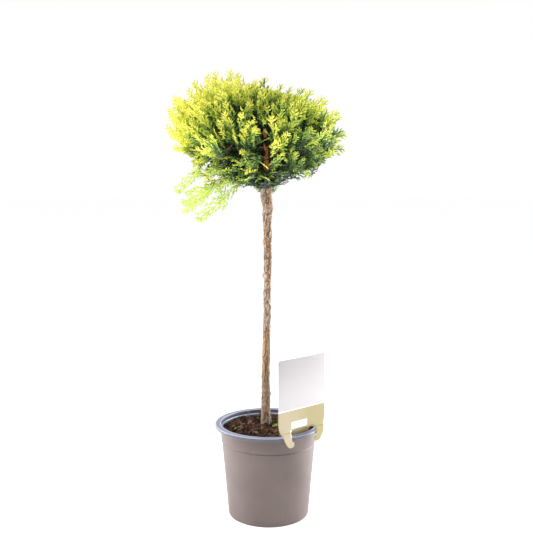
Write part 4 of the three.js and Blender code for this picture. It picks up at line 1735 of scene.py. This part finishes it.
    def lit(self, slivers: Slivers) -> tuple[Array, Array]:
        """How much sun each sliver gets, and whether it is kept.

        Sun on a shoot counts its nearness to the head's surface, its height, how far left it
        lies and how near the plume's tip it is, with a little chance by shoot and by plume. It
        stands partly for the real gold of sunlit growth and partly for painted light and shade:
        the heart darker, the left side, where the light falls from, lighter, and the leaves round
        the window lighter.
        Slivers past the head's reach or in the window are not kept.

        Args:
            slivers: the slivers.

        Returns:
            The sun and the truth value of each.
        """
        head, sun = self.limbs.head, self.sun
        x, y, z = slivers.centre.T
        out = self.limbs.droop.depth_share(slivers.centre)
        out = np.where(slivers.drooping, out, self.head_share(slivers.centre))
        # Partly painted shade: the deeper in the head, the darker the tone.
        light = sun.depth * (out - sun.middle_depth)
        light = light + sun.height * ((z - head.centre[2]) / head.reach[2])
        # Painted light: the left side, where the light falls from, gets lighter tones.
        light = light + sun.left * (-(x - head.centre[0]) / head.reach[0])
        light = light + sun.along * (slivers.share - sun.middle_along)
        light = light + sun.chance_by_shoot * self.chance(slivers.shoot, 77)
        light = light + sun.chance_by_plume * self.chance(slivers.shoot // 64, 78)
        fork = (np.hypot(x - self.fork[0], y - self.fork[1]) < 46) & (z < 476)
        light = light + slivers.bonus * np.where(fork, 1.0, np.clip(1.3 - 1.3 * out, 0, 1))
        left, right = self.window_x
        beside = np.abs(x - (left + right) / 2) - (right - left) / 2
        level = (z > self.window_z[0]) & (z < self.window_z[1])
        before = self.window_front - y
        wider = 0.02 * before * np.clip((530 - z) / 30, 0, 1)
        window = level & (before > 0) & (beside < wider)
        # Painted light: leaves round the window are lighter, where the shaft round the leader lies in shade.
        near_window = (level & (before > -20)) * np.clip(1 - beside / 24, 0, 1)
        light = light + sun.window_painted_light * near_window
        return light, (slivers.drooping | fork | (out < self.outer_reach)) & ~window

    def build(self) -> None:
        """Grow every plume and join the slivers by colour."""
        slivers = self.grown()
        light, kept = self.lit(slivers)
        pale = slivers.share + 0.12 * self.chance(slivers.shoot, 77)
        tone = np.full(len(light), -1)
        levels = list(LeafTone)
        for level, name in reversed(self.thresholds):
            tone[~slivers.drooping & (light > level)] = levels.index(name)
        for level, name in reversed(self.droop_thresholds):
            tone[slivers.drooping & (pale > level)] = levels.index(name)
        nodes = [f"foliage_{mass.name}" for mass in self.limbs.masses]
        for number, name in enumerate(levels):
            materials = [name.material()]
            mine = np.flatnonzero(kept & (tone == number))
            pieces = len(mine) * len(SLIVER_FACES) // self.most_triangles + 1
            for part, some in enumerate(np.array_split(mine, pieces)):
                if not len(some):
                    continue
                title = f"sprays_{name.name.lower()}_{part + 1}"
                points = slivers.corners[some].reshape(-1, 3)
                faces = repeated_faces(SLIVER_FACES, len(some))
                piece = put_mesh(title, points, [faces], materials, smooth=False)
                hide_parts(*nodes)


# Pot, filling and card


@dataclass
class Pot:
    """The round nursery pot: taupe outside, blue-grey on the rim and inside."""

    height: float = 130.0
    rim_radius: float = 75.0
    rim_skirt: float = 4.0
    rim_thick: float = 1.2
    collar_top: float = 67.2
    collar_foot: float = 66.1
    collar_height: float = 106.0
    foot: float = 56.0
    bevel: float = 1.6
    wall: float = 1.2
    floor: float = 2.0
    segments: int = 192
    outside: PotPlastic = PotPlastic("pot_taupe", "594c49", "615450", "877975", 0.56)
    # Its dark tone 35373f is painted shade on the inner wall under the lip.
    inside: PotPlastic = PotPlastic(
        "pot_blue_grey", "9da2b7", "a5aac0", "bcc2d2", 0.34, deep="35373f"
    )

    def outline(self) -> Array:
        """The half section, as rows of radius, height and fillet, from the foot's middle round.

        It runs up the outer wall, over the collar's step and the rim, and down the inner wall.
        """
        foot, collar, level = self.foot, self.collar_foot, self.collar_height
        rim, skirt, top = self.rim_radius, self.height - self.rim_skirt, self.height
        flange, under = top - self.rim_thick, rim - self.rim_thick
        inner, mouth = collar - self.wall, self.collar_top - self.wall
        return np.array([
            (0, 0.9, 0), (foot - 9, 0.9, 0.8), (foot - 10.5, 0, 0.8), (foot - self.bevel, 0, 1.6),
            (foot, self.bevel, 1.4), (collar - 1.1, level - 2.4, 0.4),
            (collar - 1.8, level - 1.8, 0.3), (collar - 1.7, level - 0.3, 0.3),
            (collar, level, 0.5), (self.collar_top, flange - 0.3, 1.5),
            (under, flange, 0.4), (under, skirt, 0.5), (rim, skirt, 0.6), (rim, top, 1.0),
            (rim - 1.7, top, 0.4), (rim - 2.3, top - 0.6, 0.4), (mouth + 1.6, top - 0.6, 0.4),
            (mouth + 1.1, top, 0.4), (mouth, top, 0.9), (mouth - 0.15, top - 5.4, 0.4),
            (mouth - 0.95, top - 6.0, 0.4), (inner, level + 1, 0.8), (inner - 1, level - 1, 0.8),
            (foot - self.wall, self.floor, 2.0), (0, self.floor, 0),
        ])

    def build(self) -> None:
        """The pot as a rounded profile turned about its axis."""
        outline = self.outline()
        profile = filleted(outline[:, :2], outline[:, 2])
        points, faces = turned_surface(profile, self.segments)
        lip = int(np.flatnonzero(profile[:, 0] > self.rim_radius - 0.5 * self.rim_thick)[0]) - 1
        slots = np.zeros(sum(len(part) for part in faces), int)
        ring_of_face = np.arange((len(profile) - 3) * self.segments) // self.segments
        slots[: len(ring_of_face)] = ring_of_face >= lip
        slots[-self.segments :] = 1
        materials = [self.outside.material(), self.inside.material()]
        piece = put_mesh("pot_shell", points, faces, materials, slots)
        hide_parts("pot")

    def inner_radius(self, height: float) -> float:
        """The inner wall's radius at a height in the collar."""
        share = (height - self.collar_height) / (self.height - self.collar_height)
        return self.collar_foot - self.wall + share * (self.collar_top - self.collar_foot)


@dataclass
class Filling:
    """The potting mix: a crumbly mound under bark chips, crumbs, bits of moss and fallen sprays."""

    pot: Pot
    edge_height: float = 120.0
    top_height: float = 123.0
    level_radius: float = 24.0
    foot_height: float = 2.3
    gap: float = 0.3
    stem_at: Pair = (-3.2, 12)
    segments: int = 160
    rings: int = 60
    seed: int = 8
    # The mix's near-black tones are its own dark colour and painted shade, which shows in the gaps between
    # the chips.
    soil: Crumb = Crumb("mix_dark", "17100c", "0a0605")
    chips: tuple[tuple[Crumb, int], ...] = (
        (Crumb("chip_dark", "2e1e18", "160e0b"), 460),
        (Crumb("chip_brown", "664a38", "33221a"), 320),
        (Crumb("chip_tan", "967a5e", "5e4838"), 60),
        (Crumb("chip_red", "6e4234", "3a231c"), 160),
    )
    mossy: Crumb = Crumb("moss_green", "5d6f2c", "34451c")
    leafy: Crumb = Crumb("fallen_leaf", "94b446", "6a8c2e")
    chip_sizes: tuple[Triple, ...] = ((2.6, 5.0, 1.6), (0.9, 1.3, 1), (0.7, 1.0, 1))
    moss: int = 900
    moss_sizes: tuple[Triple, ...] = ((1.2, 1.3, 1), (0.3, 0, 1), (0.3, 0, 1))
    fallen: int = 7
    fallen_sizes: tuple[Triple, ...] = ((3.4, 2.4, 1), (1.0, 0.7, 1), (0.35, 0, 1))
    laid: tuple[Pair, ...] = ((-29, 0), (-26, -5), (-47, 44), (-44, -8), (-8, -12))

    def from_stem(self, x: Array, y: Array) -> Array:
        """Level distances from the stem's foot."""
        return np.hypot(x - self.stem_at[0], y - self.stem_at[1])

    def laid_at(self, x: Array, y: Array) -> Array:
        """Points on the mound: level in the middle, falling to the wall, with soft lumps."""
        edge = self.pot.inner_radius(self.edge_height) - self.gap
        fall = smoothstep(self.level_radius - 6, edge, np.hypot(x, y))
        lumps = 1.6 * np.sin(x * 0.13 + 1.3) * np.cos(y * 0.11 - 0.4) + np.sin(x * 0.31 - y * 0.27)
        near_foot = smoothstep(9, 22, self.from_stem(x, y))
        drop = (self.top_height - self.edge_height) * fall
        return np.stack([x, y, self.top_height - 0.25 - drop + 0.8 * lumps * near_foot], axis=-1)

    def build(self) -> None:
        """The body of the mix, a lumpy mound over a plug that fills the pot."""
        pot, gap = self.pot, self.gap
        inner = pot.collar_foot - pot.wall - gap
        plug = np.array([
            (0, self.foot_height), (pot.foot - pot.wall - gap, self.foot_height),
            (inner - 1, pot.collar_height - 1), (inner, pot.collar_height + 1),
        ])
        rings = np.linspace(pot.inner_radius(self.edge_height) - gap, 0, self.rings)
        profile = np.concatenate([plug, np.stack([rings, 0 * rings + self.edge_height], axis=-1)])
        points, faces = turned_surface(profile, self.segments)
        top = np.arange(len(points)) >= (len(plug) - 1) * self.segments
        fine = np.random.default_rng(self.seed).random(top.sum()) - 0.5
        points[top] = self.laid_at(points[top, 0], points[top, 1]) + 0.5 * fine[:, None] * UP
        piece = put_mesh("mix_body", points, faces, [self.soil.material()])
        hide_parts("potting_mix")

    def scatter(self, count: int, seed: int, keep_off: float) -> tuple[Array, Dice]:
        """Places spread evenly over the mound, clear of the stem's foot.

        Args:
            count: number of places tried.
            seed: start of the random places.
            keep_off: distance kept from the stem's axis.

        Returns:
            Places on the surface, and the random source.
        """
        dice = np.random.default_rng(seed)
        radius = (self.pot.inner_radius(self.edge_height) - 3.5) * np.sqrt(dice.random(count))
        angle = 2 * math.pi * dice.random(count)
        x, y = radius * np.cos(angle), radius * np.sin(angle)
        clear = self.from_stem(x, y) > keep_off
        return self.laid_at(x[clear], y[clear]), dice

    def dress(self) -> None:
        """Lay chips of each tone, bits of moss and fallen sprays on the mound."""
        for number, (crumb, count) in enumerate(self.chips):
            places, dice = self.scatter(count, self.seed + number, 9.5)
            self.put_chips(crumb.name, places, self.chip_sizes, dice, crumb, 0.5)
        places, dice = self.scatter(self.moss, self.seed + 9, 9)
        x, y, _ = places.T
        places = places[np.sin(x * 0.13 + 2) + np.cos(y * 0.17 + x * 0.05) > 0.9]
        self.put_chips("moss", places, self.moss_sizes, dice, self.mossy, 0.9)
        places, dice = self.scatter(self.fallen, self.seed + 21, 14)
        places = np.concatenate([self.laid_at(*np.array(self.laid, float).T), places]) + 1.8 * UP
        self.put_chips("fallen", places, self.fallen_sizes, dice, self.leafy, 0.3)

    def put_chips(
        self, name: str, places: Array, sizes: tuple[Triple, ...], dice: Dice, crumb: Crumb,
        tilt: float,
    ) -> None:
        """Many rough chips at once: boxes with moved corners, turned at random on the mound.

        Args:
            name: the piece's name.
            places: where the chips lie.
            sizes: for each axis the least half size, and what chance adds and to which power.
            dice: the random source.
            crumb: their finish.
            tilt: how far they may stand up.
        """
        count = len(places)
        size = np.stack([
            least + (more * dice.random(count) ** power if more else np.zeros(count))
            for least, more, power in sizes
        ], axis=-1)
        signs = np.array([[x, y, z] for z in (-1, 1) for y in (-1, 1) for x in (-1, 1)], float)
        local = signs[None] * (0.72 + 0.5 * dice.random((count, 8, 3))) * size[:, None]
        heading = 2 * math.pi * dice.random(count)
        lean = tilt * dice.normal(size=count)
        level = np.cos(lean)
        aim = np.stack([np.cos(heading) * level, np.sin(heading) * level, np.sin(lean)], axis=-1)
        across = unit(np.cross(UP, aim) + 0.35 * dice.normal(size=(count, 3)))
        across = unit(across - np.sum(across * aim, axis=-1, keepdims=True) * aim)
        points = places[:, None] + local[..., :1] * aim[:, None] + local[..., 1:2] * across[:, None]
        lift = 0.5 * size[:, 2] + 1.1 * dice.random(count) ** 3
        points = points + local[..., 2:] * np.cross(aim, across)[:, None] + lift[:, None, None] * UP
        limit = self.pot.inner_radius(self.edge_height) - 2 * self.gap
        radius = np.hypot(points[..., 0], points[..., 1])
        points[..., :2] *= np.minimum(1, limit / np.maximum(radius, 1))[..., None]
        faces = repeated_faces(CHIP_FACES, count)
        materials = [crumb.material()]
        piece = put_mesh(f"mix_{name}", points.reshape(-1, 3), [faces], materials, smooth=False)


@dataclass
class Card:
    """The blank card hooked over the rim. U runs along it, and V is the height.

    Its edges are given by rows of V and half the width, from the lowest up.
    """

    turn: float = -49.0
    half_width: float = 42.5
    top: float = 235.0
    thick: float = 0.5
    plane: float = 68.0
    tongue_half: float = 15.5
    tongue_foot: float = 125.5
    tongue_dip: float = 4.9
    tongue_slope: float = 0.18
    hook_start: float = 22.5
    hook_foot: float = 116.5
    hook_rise: float = 4.8
    slot_top: float = 136.0
    bend_start: float = 141.0
    rim_height: float = 130.0
    corner: float = 3.0
    bow: float = 0.9
    outer_edge: tuple[Pair, ...] = (
        (116.5, 26), (118.5, 29.5), (122, 32.2), (128, 35.6), (136, 39), (143, 41.4), (150, 42.5),
        (240, 42.5),
    )
    inner_edge: tuple[Pair, ...] = (
        (116.5, 21.5), (117.5, 19.8), (119, 18.6), (123.6, 18.6), (124.2, 22.5), (136, 22.5),
    )

    def plane_at(self, v: Array, hooked: Array) -> Array:
        """How far the card stands from the pot's axis, on its tongue (0) or on its hooks (1)."""
        span = self.bend_start - self.rim_height
        bend = smoothstep(0, span, self.bend_start - v)
        tongue = -self.tongue_dip * bend - self.tongue_slope * np.maximum(0, self.rim_height - v)
        return self.plane + tongue + (self.hook_rise * bend - tongue) * hooked

    def strip(self, left: Array, right: Array, v: Array, hooked: float | None = None) -> Arrays:
        """A grid of the card between two edges.

        Args:
            left: the left edge at each height.
            right: the right edge at each height.
            v: heights, from the top down.
            hooked: 0 for the tongue, 1 for a hook, and none for the body, which blends them.

        Returns:
            Points, UV pairs and faces.
        """
        columns = 61 if hooked is None else 15
        share = np.linspace(0, 1, columns)
        u = left[:, None] * (1 - share) + right[:, None] * share
        height = np.broadcast_to(v[:, None], u.shape)
        mask = smoothstep(self.tongue_half, self.hook_start, np.abs(u))
        if hooked is not None:
            mask = 0 * u + hooked
        bow = self.bow * (1 - (u / self.half_width) ** 2) * smoothstep(150, self.top, height)
        distance = (self.plane_at(height, mask) + bow)[..., None]
        outward = level_way(math.radians(self.turn))
        along = np.cross(UP, outward)
        points = u[..., None] * along + height[..., None] * UP + distance * outward
        uv = np.stack([u, height], axis=-1) * MM
        return points.reshape(-1, 3), uv.reshape(-1, 2), grid_faces(len(v), columns, False)

    def build(self) -> None:
        """The card as four joined strips: the body, the tongue and the two hooks."""
        t = np.linspace(0, 1, 12) * math.pi / 2
        body = np.concatenate([
            self.top - self.corner * (1 - np.cos(t)),
            np.linspace(228, 152, 20),
            np.linspace(150, self.slot_top, 12),
        ])
        hook = np.linspace(self.slot_top, self.hook_foot, 22)
        tongue = np.linspace(self.slot_top, self.tongue_foot, 10)
        half = np.full(10, self.tongue_half)
        edge = np.interp(body, *np.array(self.outer_edge).T)
        edge[:12] = self.half_width - self.corner * (1 - np.sin(t))
        outer = np.interp(hook, *np.array(self.outer_edge).T)
        inner = np.interp(hook, *np.array(self.inner_edge).T)
        strips = [
            self.strip(-edge, edge, body),
            self.strip(-half, half, tongue, 0),
            self.strip(inner, outer, hook, 1),
            self.strip(-outer, -inner, hook, 1),
        ]
        points, uv, grids = zip(*strips)
        starts = np.cumsum([0] + [len(part) for part in points])
        faces = np.concatenate([grid + start for grid, start in zip(grids, starts)])
        points, uv, materials = np.concatenate(points), np.concatenate(uv), [CardPrint().material()]
        piece = put_mesh("card_sheet", points, [faces], materials, uv=uv)
        solid = piece.modifiers.new("thickness", "SOLIDIFY")
        solid.thickness = self.thick * MM
        solid.offset = 0
        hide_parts("card")


# Studio


@dataclass(frozen=True)
class Softbox:
    """A square softbox that looks at a height on the plant's axis. Its lengths are in metres."""

    name: str
    place: Triple
    size: float
    power: float
    aim_height: float = 0.42

    def build(self) -> None:
        """Hang the softbox."""
        data = bpy.data.lights.new(self.name, "AREA")
        data.size = self.size
        data.energy = self.power
        light = put_object(self.name, data)
        light.location = self.place
        aim = unit(self.aim_height * UP - np.array(self.place))
        pitch = math.acos(max(-1.0, min(1.0, -aim[2])))
        light.rotation_euler = (pitch, 0, math.atan2(aim[1], aim[0]) - math.pi / 2)


@dataclass
class Studio:
    """A plain pale floor, soft light and the camera at the photograph's angle, in metres."""

    lens: float = 57.0
    sensor: float = 36.0
    place: Triple = (-0.0028, -1.167, 0.485)
    pitch: float = 6.97
    floor_reach: float = 12.0
    floor_glow: float = 0.25
    front_glow: float = 0.54
    rear_glow: float = 1.0
    softboxes: tuple[Softbox, ...] = (
        Softbox("left", (-1.5, -0.35, 0.8), 1.4, 16),
        Softbox("right", (1.5, -0.35, 0.8), 1.4, 5),
        Softbox("low_left", (-0.9, 0.22, 0.2), 0.6, 12, 0.06),
        Softbox("low_right", (0.85, 0.38, 0.2), 0.6, 22, 0.06),
        Softbox("key", (-0.8, -1.0, 2.0), 0.7, 26),
        Softbox("rear", (0.3, 1.4, 1.8), 1.6, 6),
    )

    def camera(self) -> None:
        """The camera, looking along +Y and a little down."""
        data = bpy.data.cameras.new("camera")
        data.lens = self.lens
        data.sensor_width = self.sensor
        data.dof.use_dof = False
        camera = put_object("camera", data)
        camera.location = self.place
        camera.rotation_euler = (math.radians(90 - self.pitch), 0, 0)
        bpy.context.scene.camera = camera

    def floor(self) -> None:
        """A wide pale floor."""
        recipe = Recipe("floor_paper", 0.9, 0.1)
        paper = recipe.noise(recipe.place(), 3, 2)
        tone = recipe.blend(paper, "f4f4f5", "f8f8f9")
        recipe.shade("Emission Color", "ffffff")
        recipe.shade("Emission Strength", self.floor_glow)
        mesh = bpy.data.meshes.new("floor")
        signs = ((-1, -1), (1, -1), (1, 1), (-1, 1))
        corners = [(self.floor_reach * x, self.floor_reach * y, 0) for x, y in signs]
        mesh.from_pydata(corners, [], [(0, 1, 2, 3)])
        mesh.materials.append(recipe.finish(tone))
        put_object("floor", mesh)

    def light(self) -> None:
        """Six softboxes and a pale surround, which is brighter behind the plant."""
        for softbox in self.softboxes:
            softbox.build()
        world = bpy.data.worlds.new("surround")
        world.use_nodes = True
        nodes, links = world.node_tree.nodes, world.node_tree.links
        source = nodes.new("ShaderNodeTexCoord")
        split = nodes.new("ShaderNodeSeparateXYZ")
        ramp = nodes.new("ShaderNodeMapRange")
        ramp.interpolation_type = "SMOOTHSTEP"
        ends = (("From Min", -0.9), ("From Max", 0.7), ("To Min", self.front_glow))
        for name, value in (*ends, ("To Max", self.rear_glow)):
            ramp.inputs[name].default_value = value
        links.new(source.outputs["Generated"], split.inputs["Vector"])
        links.new(split.outputs["Y"], ramp.inputs["Value"])
        links.new(ramp.outputs["Result"], nodes["Background"].inputs["Strength"])
        nodes["Background"].inputs["Color"].default_value = (1, 1, 1, 1)
        bpy.context.scene.world = world
        bpy.context.scene.view_settings.view_transform = "Standard"


def main() -> None:
    """Build the plant in order: pot, filling, card, wood, foliage, and then the studio."""
    logging.basicConfig(level=logging.INFO, format="%(message)s")
    pot = Pot()
    pot.build()
    filling = Filling(pot)
    filling.build()
    filling.dress()
    Card().build()
    limbs = Limbs()
    limbs.plan_masses()
    LOG.info("sprays dealt: %d", limbs.deal_sprays())
    wood = Wood(limbs)
    wood.stem()
    young_bark = wood.young_bark.material()
    wood.boughs(young_bark)
    foliage = Foliage(limbs)
    foliage.plan()
    foliage.build()
    wood.twigs(np.array(foliage.twig_paths), np.array(foliage.twig_radii), young_bark)
    studio = Studio()
    studio.floor()
    studio.light()
    studio.camera()


if __name__ == "__main__":
    main()
